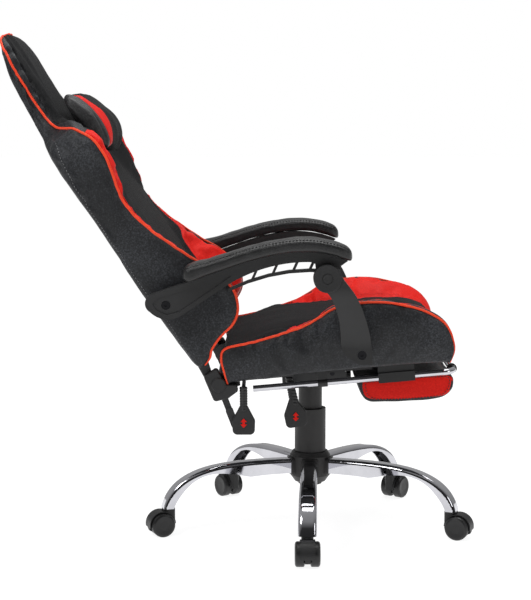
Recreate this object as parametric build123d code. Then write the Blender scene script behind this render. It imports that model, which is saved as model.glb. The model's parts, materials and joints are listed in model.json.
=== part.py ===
from build123d import *
import os
from math import sin, cos, radians, hypot

# Reclining gaming chair with linked armrests, a sliding footrest and a five-leg castor base.
# Millimetres.  The sitter faces +X, their left is +Y and +Z is up.  Pieces are placed about the
# swivel axis at X = 0 and standing on Z = 0, then moved by swivel_x and swivel_y, so that the
# origin is the middle of the overall box at floor level.  The pose is: lift down, seat tilt locked, back
# reclined, footrest folded and pushed in.

# ---- driving dimensions ----
swivel_x = 145.0           # the swivel axis stands this far ahead of the middle of the chair
swivel_y = 16.0            # and this far to the left of it, as one castor reaches out further

# base
star_radius = 312.0        # swivel axis to castor stem
base_turn = -92.5          # direction of the first leg, degrees from +X
leg_count = 5
hub_r = 30.0
hub_low = 98.0
hub_high = 158.0
leg_hub_top = 148.0
leg_hub_bottom = 118.0
leg_hub_width = 30.0
leg_tip_width = 38.0
leg_wall = 2.5
leg_edge_r = 8.0
leg_tip_z = 58.0
hub_cover_r = 43.0
hub_cover_top_r = 37.5
hub_cover_wall = 2.5
hub_collar_reach = 46.0    # the cover's collars wrap the legs out to this radius
hub_collar_wall = 3.5
socket_r = 10.0            # plastic insert that holds a castor stem

# castors
castor_turns = (2.5, -1.5, 2.5, 2.5, 6.5)   # how far each castor is turned from its leg
castor_trail = 16.0
wheel_r = 25.0
wheel_inner_y = 6.0
wheel_outer_y = 25.0
wheel_bore_r = 3.2
axle_r = 3.1
stem_r = 5.5
stem_top = 70.0
guard_r = 28.5             # outer radius of the guard over the wheels
guard_wall = 2.2
guard_half_y = 15.0
hood_top = 57.0

# gas lift
column_r = 25.0
column_wall = 2.5
column_low = 92.0
column_high = 311.0
column_cover_r = 33.0
column_cover_wall = 2.5
column_cover_top = 256.0
cylinder_r = 14.0
cylinder_wall = 2.5
cylinder_low = 110.0
cylinder_high = 326.0
rod_r = 5.0
rod_high = 222.0
bush_length = 60.0
running_gap = 0.1
button_r = 6.0

# seat
seat_z = 365.0             # underside of the seat above the floor, at the swivel axis
seat_pitch = 5.0           # the front of the seat is tipped up by this many degrees
seat_core_half = 150.0     # half width of the flat middle of the seat
seat_crest_half = 236.0    # half width at the top of the side bolsters
seat_half = 244.0
pan_thick = 5.0
pan_half = 200.0
pan_rear = -150.0
pan_front = 250.0
rib_y = 132.0              # inner face of the pan's two down-turned stiffening ribs
rib_depth = 15.0
rib_spans = ((-125.0, -70.0), (-30.0, 122.0))   # the ribs leave room for the height lever
tab_y = 203.0              # inner face of the upturned tabs that hold the armrest struts
tab_thick = 4.0

# tilt mechanism
tilt_s = 42.0              # tilt pivot, along and below the seat
tilt_n = -31.0
pivot_pin_r = 5.0
bracket_half = 45.0
bracket_wall = 3.0
bracket_rear = -60.0
bracket_front = 75.0
bracket_low = 314.0
cup_r = 18.0
plate_half = 95.0
plate_rear = -155.0
plate_front = 110.0
plate_thick = 4.0
flange_gap = 3.0
spring_mean_r = 5.5
spring_wire = 1.1
spring_turns = 7
tension_rod_r = 3.0
knob_r = 14.0
knob_thick = 10.0
tension_z = 325.0

# levers under the seat
lever_rod_r = 4.0
lever_pivot_y = 60.0
height_lever_s = -50.0
height_lever_n = -18.0
height_paddle_y = 134.0
height_paddle_lean = 5.0
height_neck = 52.0
tilt_lever_s = -141.0
tilt_lever_n = -14.0
tilt_paddle_y = 228.0
tilt_paddle_lean = -5.0
tilt_neck = 44.0
cross_pin_r = 3.0
joint_gap = 0.3            # between curved faces that move past each other without touching
neck_r = 7.5
neck_rib_pitch = 5.0
paddle_width = 46.0
paddle_height = 52.0
paddle_thick = 12.0

# recliner
hinge_s = -190.0
hinge_n = -5.0
recline = 35.0             # the back leans back from upright by this many degrees
arm_plate = 6.0
lower_arm_y = 199.5
upper_arm_y = 206.0
recliner_r = 21.0
torsion_rod_r = 5.0
cover_y = 219.0
cover_depth = 17.0
cover_wall = 2.5
recline_lever_length = 94.0
recline_lever_width = 13.0
recline_lever_y = 213.5
recline_lever_thick = 4.0

# back
back_core_half = 150.0
back_half = 250.0
head_half = 136.0
back_top = 822.0
frame_tube_r = 11.0
frame_half = 195.0
frame_f = 4.0              # frame tube centre, ahead of the hinge in the back's own frame
frame_top_f = 21.0         # the top of the hoop leans forward with the head
pillow_half = 150.0

# armrests
arm_bolt_f = 13.0          # rear armrest bolt in the back's own frame
arm_bolt_b = 194.0
strut_bolt_s = 97.0        # lower strut bolt in the seat's own frame
strut_bolt_n = 36.0
arm_pivot_x = 24.0         # joint between armrest and strut
arm_pivot_z = 564.0
arm_inner_y = 262.0
arm_outer_y = 290.0
pad_inner_y = 258.0
pad_outer_y = 324.0
bolt_r = 6.0
bolt_head_r = 8.5
loop_clearance = 3.6       # the armrest hole is this much larger than its pivot bolt
strut_inner_y = 252.0
strut_thick = 22.0
strut_top_y = 292.0
disc_r = 27.5
disc_thick = 25.0

# footrest
rail_half = 158.0
rail_r = 6.5
rail_wall = 1.5
rail_n = -31.0
rail_rear = -124.0
rail_front = 286.0
rail_corner = 22.0
sleeve_side = 20.0
front_sleeve = (132.0, 206.0)
rear_sleeve = (8.0, 28.0)
rear_sleeve_wall = 2.2
foot_half = 144.0
foot_board_half = 136.0
foot_board_thick = 5.0
foot_gap = 2.0             # between the rails and the folded footrest
hinge_ear_y = 118.0
hinge_ear_thick = 5.0


# ---- frames ----
seat_frame = Pos(0, 0, seat_z) * Rot(0, -seat_pitch, 0)


def seat_point(s, n):
    """A point of the seat's own frame as (x, z)."""
    a = radians(seat_pitch)
    return s * cos(a) - n * sin(a), seat_z + s * sin(a) + n * cos(a)


hinge_x, hinge_z = seat_point(hinge_s, hinge_n)
back_frame_place = Pos(hinge_x, 0, hinge_z) * Rot(0, -recline, 0)


def back_point(f, b):
    """A point of the back's own frame as (x, z)."""
    a = radians(recline)
    return hinge_x + f * cos(a) - b * sin(a), hinge_z + f * sin(a) + b * cos(a)


tilt_x, tilt_z = seat_point(tilt_s, tilt_n)
arm_bolt_x, arm_bolt_z = back_point(arm_bolt_f, arm_bolt_b)
strut_bolt_x, strut_bolt_z = seat_point(strut_bolt_s, strut_bolt_n)


# ---- helpers ----
def side_face(wire, y):
    """A closed (x, z) outline as a face at one y, facing -Y."""
    plane = Plane(origin=(0, y, 0), x_dir=(1, 0, 0), z_dir=(0, -1, 0))
    return plane * make_face(wire)


def slab(wire, y_low, y_high):
    """A closed (x, z) outline extruded between two y values."""
    return extrude(side_face(wire, y_high), amount=y_high - y_low)


def poly(points):
    return Polyline(*points, close=True)


def rounded(points, radius):
    return FilletPolyline(*points, radius=radius, close=True)


def block(x, y, z):
    """A box from three (low, high) pairs."""
    size = Box(x[1] - x[0], y[1] - y[0], z[1] - z[0])
    return Pos((x[0] + x[1]) / 2, (y[0] + y[1]) / 2, (z[0] + z[1]) / 2) * size


def rod_y(x, z, radius, y_low, y_high):
    """A cylinder along Y."""
    bar = Rot(90, 0, 0) * Cylinder(radius, y_high - y_low)
    return Pos(x, (y_low + y_high) / 2, z) * bar


def rod_x(y, z, radius, x_low, x_high):
    """A cylinder along X."""
    bar = Rot(0, 90, 0) * Cylinder(radius, x_high - x_low)
    return Pos((x_low + x_high) / 2, y, z) * bar


def rod_z(x, y, radius, z_low, z_high):
    """A cylinder along Z."""
    return Pos(x, y, (z_low + z_high) / 2) * Cylinder(radius, z_high - z_low)


def tube_z(outer, inner, z_low, z_high):
    return rod_z(0, 0, outer, z_low, z_high) - rod_z(0, 0, inner, z_low - 1, z_high + 1)


def other_side(shape):
    return mirror(shape, about=Plane.XZ)


def both_sides(shape):
    return Compound(children=[shape, other_side(shape)])


def swept(path, radius):
    """A round bar along a path."""
    return sweep((path ^ 0) * Circle(radius), path=path)


def ruled_between(outline_a, y_a, outline_b, y_b):
    """A solid between two (x, z) outlines with the same number of points."""
    return loft([side_face(poly(outline_a), y_a), side_face(poly(outline_b), y_b)], ruled=True)


# ---- base ----
def leg_angle(index):
    return base_turn + index * 360.0 / leg_count


def leg_top_points():
    """The leg's upper line from the hub to the tip, as (radius, z)."""
    return [(0, leg_hub_top), (star_radius - 147, leg_hub_top - 1), (star_radius - 68, 134),
            (star_radius - 13, 103), (star_radius + 12, leg_tip_z)]


def inward(points, distance):
    """The points of a line that falls to the right, moved in by a wall thickness."""
    moved = []
    last = len(points) - 1
    for i, (x, z) in enumerate(points):
        x0, z0 = points[max(i - 1, 0)]
        x1, z1 = points[min(i + 1, last)]
        length = hypot(x1 - x0, z1 - z0)
        moved.append((x + distance * (z1 - z0) / length, z - distance * (x1 - x0) / length))
    return moved


def leg_top_line(points):
    return Spline(*points, tangents=[(1, 0.02), (0.25, -1)])


def leg_blank():
    """One leg as a full bar along +X, before its underside is opened."""
    top = leg_top_points()
    under = [(star_radius - 9, leg_tip_z), (star_radius - 24, 85), (star_radius - 50, 111),
             (star_radius - 97, 127), (star_radius - 162, leg_hub_bottom + 1),
             (0, leg_hub_bottom)]
    top_line = leg_top_line(top)
    under_line = Spline(*under, tangents=[(-0.3, 1), (-1, -0.02)])
    outline = [top_line, Line(top[-1], under[0]), under_line, Line(under[-1], top[0])]
    side = slab(Wire(outline), -leg_tip_width, leg_tip_width)
    reach = star_radius + 20
    plan = make_face(Polyline((0, -leg_hub_width / 2), (reach, -leg_tip_width / 2),
                              (reach, leg_tip_width / 2), (0, leg_hub_width / 2), close=True))
    leg = side & extrude(plan, amount=leg_hub_top + 40)
    longest = leg.edges().sort_by(SortBy.LENGTH)[-4:]
    upper = sorted(longest, key=lambda edge: edge.center().Z)[-2:]
    return fillet(upper, radius=leg_edge_r)


def leg_hollow():
    """The space under one leg's skin."""
    top = inward(leg_top_points(), leg_wall)
    low = leg_tip_z - 20
    outline = [leg_top_line(top), Line(top[-1], (top[-1][0], low)),
               Line((top[-1][0], low), (top[0][0], low)), Line((top[0][0], low), top[0])]
    width = leg_hub_width - 2 * leg_wall
    tip = leg_tip_width - 2 * leg_wall
    reach = star_radius + 20
    plan = make_face(Polyline((0, -width / 2), (reach, -tip / 2), (reach, tip / 2),
                              (0, width / 2), close=True))
    return slab(Wire(outline), -leg_tip_width, leg_tip_width) & extrude(plan, amount=leg_hub_top)


def around(shape):
    """A copy of a piece at each leg."""
    return [Rot(0, 0, leg_angle(i)) * shape for i in range(leg_count)]


def make_star_legs():
    bar = leg_blank() - leg_hollow() - rod_z(0, 0, hub_r, 0, 2 * leg_hub_top)
    return Compound(children=around(bar.solids().sort_by(Axis.X)[-1]))


def make_castor_sockets():
    socket = rod_z(star_radius, 0, socket_r, leg_tip_z, leg_hub_top) & leg_hollow()
    socket -= rod_z(star_radius, 0, stem_r + running_gap, 0, stem_top + 1)
    return Compound(children=around(socket.solids()[0]))


def make_hub_socket():
    return tube_z(hub_r, column_r, hub_low, hub_high)


def make_hub_cover():
    profile = [(column_cover_r + 0.5, 163), (hub_cover_top_r, 163), (hub_cover_r, 154),
               (hub_cover_r, 112), (hub_r + 3, hub_low), (hub_r, hub_low),
               (hub_r, hub_low + hub_cover_wall), (hub_cover_r - hub_cover_wall, 112 + 1),
               (hub_cover_r - hub_cover_wall, 153), (column_cover_r + 0.5, 159)]
    shell = revolve(Plane.XZ * make_face(Polyline(*profile, close=True)), Axis.Z)
    side = leg_hub_width / 2 + hub_collar_wall
    collar = block((hub_r + 4, hub_collar_reach), (-side, side),
                   (leg_hub_bottom - hub_collar_wall, leg_hub_top + hub_collar_wall))
    long_edges = collar.edges().filter_by(Axis.X)
    for piece in around(fillet(long_edges, radius=6)):
        shell += piece
    for leg in around(leg_blank()):
        shell -= leg
    return shell


# ---- gas lift ----
def make_lift_column():
    inner = column_r - column_wall
    column = tube_z(column_r, inner, column_low, column_high)
    floor = tube_z(inner, rod_r + 1, column_low, column_low + 3)
    return column + floor


def make_column_cover():
    inner = column_cover_r - column_cover_wall
    cover = tube_z(column_cover_r, inner, hub_high, column_cover_top)
    lip = tube_z(inner, column_r + 0.5, column_cover_top - 2, column_cover_top)
    return cover + lip


def make_column_bush():
    return tube_z(column_r - column_wall, cylinder_r + running_gap,
                  column_high - bush_length, column_high)


def make_thrust_bearing():
    return tube_z(cylinder_r, rod_r + running_gap, column_low + 3, column_low + 9)


def make_piston_rod():
    low = column_low + 3
    foot = tube_z(cylinder_r, rod_r - 0.5, low + 6.2, low + 9.2)
    rod = rod_z(0, 0, rod_r, low + 1, rod_high)
    head = rod_z(0, 0, cylinder_r - cylinder_wall - running_gap, rod_high - 8, rod_high)
    return rod + foot + head


def make_gas_cylinder():
    inner = cylinder_r - cylinder_wall
    body = rod_z(0, 0, cylinder_r, cylinder_low, cylinder_high)
    body -= rod_z(0, 0, inner, cylinder_low + 12, cylinder_high - 8)
    body -= rod_z(0, 0, rod_r + running_gap, cylinder_low - 1, cylinder_low + 13)
    return body - rod_z(0, 0, button_r + running_gap, cylinder_high - 9, cylinder_high + 1)


def make_valve_button():
    button = rod_z(0, 0, button_r, cylinder_high - 6, cylinder_high + 8)
    return fillet(button.edges().group_by(Axis.Z)[-1], radius=1.5)


# ---- castors ----
def castor_frame(index):
    """Places a castor drawn with its stem on Z and its trail along +X."""
    out = Rot(0, 0, leg_angle(index)) * Pos(star_radius, 0, 0)
    return out * Rot(0, 0, castor_turns[index])


def castor_hood():
    half = wheel_inner_y - 0.5
    web = rod_y(castor_trail, wheel_r, wheel_r - 5, -half, half)
    guard = rod_y(castor_trail, wheel_r, guard_r, -guard_half_y, guard_half_y)
    guard -= rod_y(castor_trail, wheel_r, guard_r - guard_wall, -guard_half_y, guard_half_y)
    guard &= slab(poly([(castor_trail - 60, 30), (castor_trail - 60, 70), (60, 70), (60, 18)]),
                  -guard_half_y, guard_half_y)
    bridge = rod_y(castor_trail, wheel_r, guard_r - 0.5, -half, half)
    bridge &= slab(poly([(-15, 12), (-15, 70), (60, 70), (60, 12)]), -half, half)
    neck = RectangleRounded(26, 24, 8)
    neck = extrude(Pos(-1, 0, 20) * neck, amount=hood_top - 20)
    neck -= rod_y(castor_trail, wheel_r, wheel_r + 0.6, wheel_inner_y - 0.5, 20)
    neck -= rod_y(castor_trail, wheel_r, wheel_r + 0.6, -20, 0.5 - wheel_inner_y)
    hood = web + bridge + guard + neck
    hood -= rod_y(castor_trail, wheel_r, axle_r, -30, 30)
    return hood - rod_z(0, 0, stem_r, hood_top - 14, hood_top + 1)


def castor_pins():
    stem = rod_z(0, 0, stem_r, hood_top - 14, stem_top)
    axle = rod_y(castor_trail, wheel_r, axle_r, 2.5 - wheel_outer_y, wheel_outer_y - 2.5)
    return Compound(children=[stem, axle])


def castor_wheel():
    """One of the twin wheels, on the +Y side."""
    profile = [(wheel_bore_r, wheel_inner_y), (wheel_r - 2, wheel_inner_y),
               (wheel_r, wheel_inner_y + 2), (wheel_r, wheel_outer_y - 4),
               (wheel_r - 1.5, wheel_outer_y - 1.5), (wheel_r - 5, wheel_outer_y),
               (10, wheel_outer_y - 1), (0, wheel_outer_y - 1),
               (0, wheel_outer_y - 2.4), (wheel_bore_r, wheel_outer_y - 2.4)]
    disc = revolve(make_face(Polyline(*profile, close=True)), Axis.Y)
    return Pos(castor_trail, 0, wheel_r) * disc


def make_castors():
    nodes = {}
    hood = castor_hood()
    pins = castor_pins()
    wheel = castor_wheel()
    for i in range(leg_count):
        place = castor_frame(i)
        nodes[f"castor_{i + 1}_hood"] = place * hood
        nodes[f"castor_{i + 1}_pins"] = place * pins
        nodes[f"castor_{i + 1}_wheels"] = place * both_sides(wheel)
    return nodes


# ---- tilt mechanism ----
def make_mech_bracket():
    """The pressed bracket that grips the top of the gas lift."""
    side = poly([(bracket_rear, bracket_low), (bracket_front, bracket_low),
                 (bracket_front, tilt_z + 2), (tilt_x + 8, tilt_z + 8),
                 (tilt_x - 12, tilt_z + 8), (bracket_rear, bracket_low + 14)])
    wall = slab(side, bracket_half - bracket_wall, bracket_half)
    bottom = block((bracket_rear, bracket_front), (-bracket_half, bracket_half),
                   (bracket_low, bracket_low + bracket_wall))
    front = block((bracket_front - bracket_wall, bracket_front), (-bracket_half, bracket_half),
                  (bracket_low, tension_z + 7))
    bracket = bottom + front + wall + other_side(wall)
    bracket += rod_z(0, 0, cup_r, bracket_low, cylinder_high)
    bracket -= rod_z(0, 0, cylinder_r, bracket_low - 1, cylinder_high + 1)
    bracket -= rod_y(tilt_x, tilt_z, pivot_pin_r + running_gap, -60, 60)
    return bracket - rod_x(0, tension_z, tension_rod_r + running_gap, 60, 90)


def make_tension_knob():
    start = bracket_front + 1
    knob = rod_x(0, tension_z, knob_r, start, start + knob_thick)
    knob = chamfer(knob.edges().group_by(Axis.X)[-1], length=2)
    for i in range(10):
        notch = rod_x(0, knob_r + 1, 2.0, start - 1, start + knob_thick + 1)
        knob -= Pos(0, 0, tension_z) * Rot(i * 36, 0, 0) * notch
    rod = rod_x(0, tension_z, tension_rod_r, cup_r + 4, start)
    return knob + rod + rod_x(0, tension_z, 6.5, cup_r + 3, cup_r + 5)


def make_tension_spring():
    """A compression spring around the knob's rod, inside the bracket."""
    length = bracket_front - bracket_wall - cup_r - 5 - 2 * spring_wire - 0.6
    path = Helix(pitch=length / spring_turns, height=length, radius=spring_mean_r)
    coil = sweep((path ^ 0) * Circle(spring_wire), path=path)
    return Pos(cup_r + 5 + spring_wire + 0.3, 0, tension_z) * Rot(0, 90, 0) * coil


def height_lever_ears():
    """Two ears under the plate that carry the height lever's cross pin."""
    s, n = height_lever_s, height_lever_n
    outline = poly([(s - 9.5, -plate_thick), (s - 9.5, n - 6), (s + 9.5, n - 6),
                    (s + 9.5, -plate_thick)])
    ears = slab(outline, -lever_pivot_y - 7, -lever_pivot_y + 7)
    ears -= block((s - 6.5, s + 6.5), (-100, 0), (n - 10, -plate_thick))
    return ears - rod_x(-lever_pivot_y, n, cross_pin_r + joint_gap, s - 20, s + 20)


def tilt_lever_guides():
    """Two plates with holes in which the tilt lock's rod slides."""
    s, n = tilt_lever_s, tilt_lever_n
    guides = block((s - 9, s + 9), (-lever_pivot_y, 3 - lever_pivot_y), (n - 8, -plate_thick))
    guides += block((s - 9, s + 9), (3 - plate_half, 6 - plate_half), (n - 8, -plate_thick))
    return guides - rod_y(s, n, lever_rod_r + running_gap, -plate_half - 1, 0)


def make_seat_plate():
    """The upper mechanism plate under the seat, with the tilt flanges and lever ears."""
    plate = block((plate_rear, plate_front), (-plate_half, plate_half), (-plate_thick, 0))
    inner = bracket_half + flange_gap
    flange = slab(poly([(tilt_s - 22, 0), (tilt_s + 28, 0), (tilt_s + 10, tilt_n - 10),
                        (tilt_s - 10, tilt_n - 10)]), inner, inner + bracket_wall)
    plate = plate + flange + other_side(flange)
    plate += height_lever_ears()
    plate += tilt_lever_guides()
    plate -= rod_y(tilt_s, tilt_n, pivot_pin_r, -60, 60)
    for s, y in plate_bolt_places():
        plate -= rod_z(s, y, 3.2, -20, 20)
    return seat_frame * plate


def plate_bolt_places():
    places = []
    for s in (plate_rear + 60, plate_front - 15):
        for y in (15 - plate_half, plate_half - 15):
            places.append((s, y))
    return places


def make_seat_bolts():
    """Plate bolts, the two strut bolts and the tilt pivot pin."""
    pieces = []
    for s, y in plate_bolt_places():
        head = rod_z(s, y, 6.0, -plate_thick - 4, -plate_thick)
        pieces.append(head + rod_z(s, y, 3.2, -plate_thick, pan_thick))
    strut_bolt = rod_y(strut_bolt_s, strut_bolt_n, bolt_r, tab_y, strut_inner_y + strut_thick - 8)
    strut_head = rod_y(strut_bolt_s, strut_bolt_n, bolt_head_r,
                       strut_inner_y + strut_thick - 7.8, strut_inner_y + strut_thick - 2)
    key = RegularPolygon(3.4, 6)
    socket = extrude(Plane(origin=(strut_bolt_s, strut_inner_y + strut_thick - 2, strut_bolt_n),
                           z_dir=(0, -1, 0)) * key, amount=3)
    collar = rod_y(strut_bolt_s, strut_bolt_n, 12, seat_half, strut_inner_y - 0.4)
    strut_bolt = strut_bolt + strut_head + collar - socket
    pieces += [strut_bolt, other_side(strut_bolt)]
    reach = bracket_half + flange_gap + bracket_wall + 2
    pieces.append(rod_y(tilt_s, tilt_n, pivot_pin_r, -reach, reach))
    return seat_frame * Compound(children=pieces)


# ---- levers ----
def lever_rod(s, n, paddle_y, lean, neck_length):
    """A bent rod from inside the mechanism to a paddle beside it."""
    drop = neck_length + 6
    path = FilletPolyline((s, 10 - lever_pivot_y, n), (s, -paddle_y, n),
                          (s + drop * sin(radians(lean)), -paddle_y, n - drop), radius=9)
    return swept(path, lever_rod_r)


def make_height_lever():
    """This lever rocks on a cross pin."""
    s, n = height_lever_s, height_lever_n
    rod = lever_rod(s, n, height_paddle_y, height_paddle_lean, height_neck)
    pin = rod_x(-lever_pivot_y, n, cross_pin_r, s - 10.5, s + 10.5)
    boss = rod_x(-lever_pivot_y, n, 6.0, s - 6.2, s + 6.2)
    return seat_frame * (rod + pin + boss)


def make_tilt_lever():
    """This lever is pulled outward, and its collar stops it."""
    s, n = tilt_lever_s, tilt_lever_n
    rod = lever_rod(s, n, tilt_paddle_y, tilt_paddle_lean, tilt_neck)
    collar = rod_y(s, n, 7.0, -lever_pivot_y - 5, -lever_pivot_y - 1)
    return seat_frame * (rod + collar)


def lever_paddle(s, n, paddle_y, lean, neck_length):
    """The ribbed neck and the flat pull of one lever."""
    neck = rod_z(0, 0, neck_r - 1, -neck_length, -9)
    for i in range(int((neck_length - 9) / neck_rib_pitch)):
        z = -11 - i * neck_rib_pitch
        neck += rod_z(0, 0, neck_r, z - 1.5, z + 1.5)
    half = paddle_width / 2
    low = -neck_length - paddle_height
    outline = [(-neck_r, -neck_length + 6), (neck_r, -neck_length + 6),
               (half, -neck_length - 24), (half - 1, low), (1 - half, low),
               (-half, -neck_length - 24)]
    pull = slab(rounded(outline, [3, 3, 10, 10, 10, 10]), -paddle_thick / 2, paddle_thick / 2)
    pull = chamfer(pull.faces().sort_by(Axis.Y)[0].edges(), length=1.5)
    place = Pos(s, -paddle_y, n) * Rot(0, -lean, 0)
    return seat_frame * (place * (neck + pull) - lever_rod(s, n, paddle_y, lean, neck_length))


# ---- seat ----
def seat_core_outline():
    """Side outline of the middle of the seat, as (s, n)."""
    return [(-168, 0), (-178, 42), (-172, 71), (-150, 81), (-60, 90), (10, 94), (60, 95),
            (120, 95), (190, 94), (235, 88), (268, 62), (276, 40), (268, 0)]


def seat_crest_outline():
    """Side outline of the seat along the bolster piping, as (s, n)."""
    return [(-171, 0), (-180, 42), (-174, 70), (-150, 77), (-60, 88), (10, 108), (60, 131),
            (120, 136), (190, 123), (245, 99), (276, 64), (281, 41), (271, 0)]


def seat_pan_raw():
    pan = block((pan_rear, pan_front), (-pan_half, pan_half), (0, pan_thick))
    tab = slab(poly([(strut_bolt_s - 35, 0), (strut_bolt_s + 35, 0),
                     (strut_bolt_s + 18, strut_bolt_n + 16),
                     (strut_bolt_s - 18, strut_bolt_n + 16)]), tab_y, tab_y + tab_thick)
    foot = block((strut_bolt_s - 35, strut_bolt_s + 35), (pan_half - 1, tab_y + tab_thick),
                 (0, pan_thick))
    tab += foot
    side = tab
    for span in rib_spans:
        side += block(span, (rib_y, rib_y + pan_thick), (-rib_depth, pan_thick))
    return pan + side + other_side(side)


def make_seat_pan():
    pan = seat_pan_raw()
    for s, y in plate_bolt_places():
        pan -= rod_z(s, y, 3.2, -20, 20)
    pan -= rod_y(strut_bolt_s, strut_bolt_n, bolt_r, -260, 260)
    return seat_frame * pan


def make_seat_cushion():
    core = slab(poly(seat_core_outline()), -seat_core_half, seat_core_half)
    return seat_frame * (core - seat_pan_raw())


def make_seat_bolsters():
    inner = ruled_between(seat_core_outline(), seat_core_half,
                          seat_crest_outline(), seat_crest_half)
    side = slab(poly(seat_crest_outline()), seat_crest_half, seat_half)
    bolster = inner + side - seat_pan_raw()
    bolster -= rod_y(strut_bolt_s, strut_bolt_n, bolt_r, tab_y, seat_half + 1)
    bolster -= rod_y(hinge_s, hinge_n, recliner_r + 1, lower_arm_y - 1, upper_arm_y + arm_plate + 1)
    bolster = bolster.solids().sort_by(SortBy.VOLUME)[-1]
    return seat_frame * both_sides(bolster)


# ---- recliner ----
def cover_post(low, high):
    """The peg between a fixed recliner plate and its cap."""
    return rod_y(hinge_x + 29, hinge_z - 8, 3.5, low, high)


def make_recliner_lower_arms():
    """Fixed recliner plates with a strap under the seat, one each side."""
    low, high = lower_arm_y, lower_arm_y + arm_plate
    cheek = rod_y(hinge_s, hinge_n, recliner_r, low, high)
    cheek += slab(poly([(hinge_s, hinge_n + recliner_r - 1), (hinge_s, hinge_n - recliner_r + 1),
                        (hinge_s + 42, -14), (hinge_s + 42, -1), (hinge_s + 15, -1)]), low, high)
    strap = block((hinge_s + 25, hinge_s + 150), (plate_half + 65, high), (-pan_thick, 0))
    arm = cheek + strap
    arm -= rod_y(hinge_s, hinge_n, torsion_rod_r + 0.4, low - 1, high + 1)
    arm = seat_frame * arm + cover_post(low, cover_y + cover_wall)
    return both_sides(arm)


def make_recliner_covers():
    """Moulded caps over the two recliner hinges."""
    low, high = cover_y, cover_y + cover_depth
    outline = [(-30, 16), (-9, -34), (19, -27), (39, -12), (36, 0), (14, 1), (-4, 35)]
    cap = slab(rounded(outline, [6, 7, 6, 5, 3, 4, 6]), low, high)
    cap = chamfer(cap.faces().sort_by(Axis.Y)[-1].edges(), length=2)
    pocket = [(-25, 14), (-8, -29), (17, -23), (35, -10), (34, -3), (11, -3), (-5, 28)]
    cap -= slab(rounded(pocket, [3, 4, 4, 3, 1, 2, 3]), low - 1, high - cover_wall)
    dome = rod_y(0, 0, 15.0, high - cover_wall, high + 3)
    cap += chamfer(dome.edges().group_by(Axis.Y)[-1], length=2)
    cap = Pos(hinge_x, 0, hinge_z) * cap
    cap += cover_post(low + cover_wall, high)
    return both_sides(cap.solids().sort_by(SortBy.VOLUME)[-1])


def make_recline_lever():
    """The pull bar, with the rod that frees both recliner hinges at once."""
    low = -recline_lever_y - recline_lever_thick
    high = -recline_lever_y
    half = recline_lever_width / 2
    bar = slab(rounded([(-half, 8), (half, 8), (half, -recline_lever_length),
                        (-half, -recline_lever_length)], 6), low, high)
    grip = slab(rounded([(-half - 1, -52), (half + 1, -52), (half + 1, -recline_lever_length - 2),
                         (-half - 1, -recline_lever_length - 2)], 6.5), low - 2, high + 2)
    lever = Rot(0, -21, 0) * (bar + grip)
    lever += rod_y(0, 0, 10.0, low, high)
    rod = rod_y(0, 0, torsion_rod_r, low, lower_arm_y + arm_plate + 4)
    return Pos(hinge_x, 0, hinge_z) * (lever + rod)


def upper_arm_raw():
    """One recliner plate of the back, in the back's own frame."""
    low, high = upper_arm_y, upper_arm_y + arm_plate
    plate = rod_y(0, 0, recliner_r, low, high)
    plate += slab(poly([(-20, 5), (-1, 20), (5, 40), (10, 56), (arm_bolt_f + 15, 110),
                        (arm_bolt_f + 15, arm_bolt_b + 16), (arm_bolt_f - 15, arm_bolt_b + 16),
                        (-14, 110), (-14, 60)]), low, high)
    return plate


def make_recliner_upper_arms():
    low, high = upper_arm_y, upper_arm_y + arm_plate
    plate = upper_arm_raw()
    plate -= rod_y(0, 0, torsion_rod_r + 0.4, low - 1, high + 1)
    plate -= rod_y(arm_bolt_f, arm_bolt_b, bolt_r, low - 1, high + 1)
    return back_frame_place * both_sides(plate)


# ---- back ----
def back_core_outline():
    """Side outline of the middle of the back, as (forward, up)."""
    return [(2, 45), (-17, 70), (-20, 226), (-15, 448), (-10, 600), (-8, 655), (5, 735),
            (18, 790), (38, back_top), (52, 820), (60, 805), (61, 770), (57, 700), (52, 645),
            (58, 560),
            (68, 470), (72, 400), (72, 250), (70, 165), (64, 110), (20, 76)]


def wing_inner_outline():
    return [(2, 45), (-17, 70), (-20, 226), (-15, 448), (-4, 596), (40, 603), (54, 570),
            (60, 515), (66, 462), (71, 405), (72, 340), (72, 250), (70, 165), (66, 120),
            (55, 95), (18, 76)]


def wing_outer_outline():
    return [(4, 45), (-17, 70), (-20, 226), (-15, 448), (-8, 566), (38, 576), (68, 554),
            (82, 515), (74, 462), (59, 405), (68, 340), (110, 250), (136, 165), (130, 120),
            (98, 93), (18, 78)]


def back_tube_path():
    """Centre line of the back's hoop, from one recliner plate to the other."""
    top_y = head_half - 26
    side = [(frame_f, frame_half, 76), (frame_f, frame_half, 500), (frame_top_f, top_y, 640)]
    far = [(f, -y, b) for f, y, b in reversed(side)]
    return FilletPolyline(*side, *far, radius=45)


def back_frame_raw():
    frame = swept(back_tube_path(), frame_tube_r)
    for b in (150, 330, 480):
        frame += rod_y(frame_f, b, 6.0, -frame_half, frame_half)
    return frame


def make_back_frame():
    return back_frame_place * back_frame_raw()


def make_back_cushion():
    core = slab(poly(back_core_outline()), -back_core_half, back_core_half)
    front = [(-back_core_half, 0), (-back_core_half, 600), (-head_half, 640),
             (16 - head_half, back_top + 10), (head_half - 16, back_top + 10), (head_half, 640),
             (back_core_half, 600), (back_core_half, 0)]
    view = Plane(origin=(-60, 0, 0), x_dir=(0, 1, 0), z_dir=(1, 0, 0))
    shape = extrude(view * make_face(rounded(front, [0, 8, 20, 45, 45, 20, 8, 0])), amount=260)
    return back_frame_place * ((core & shape) - back_frame_raw())


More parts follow.
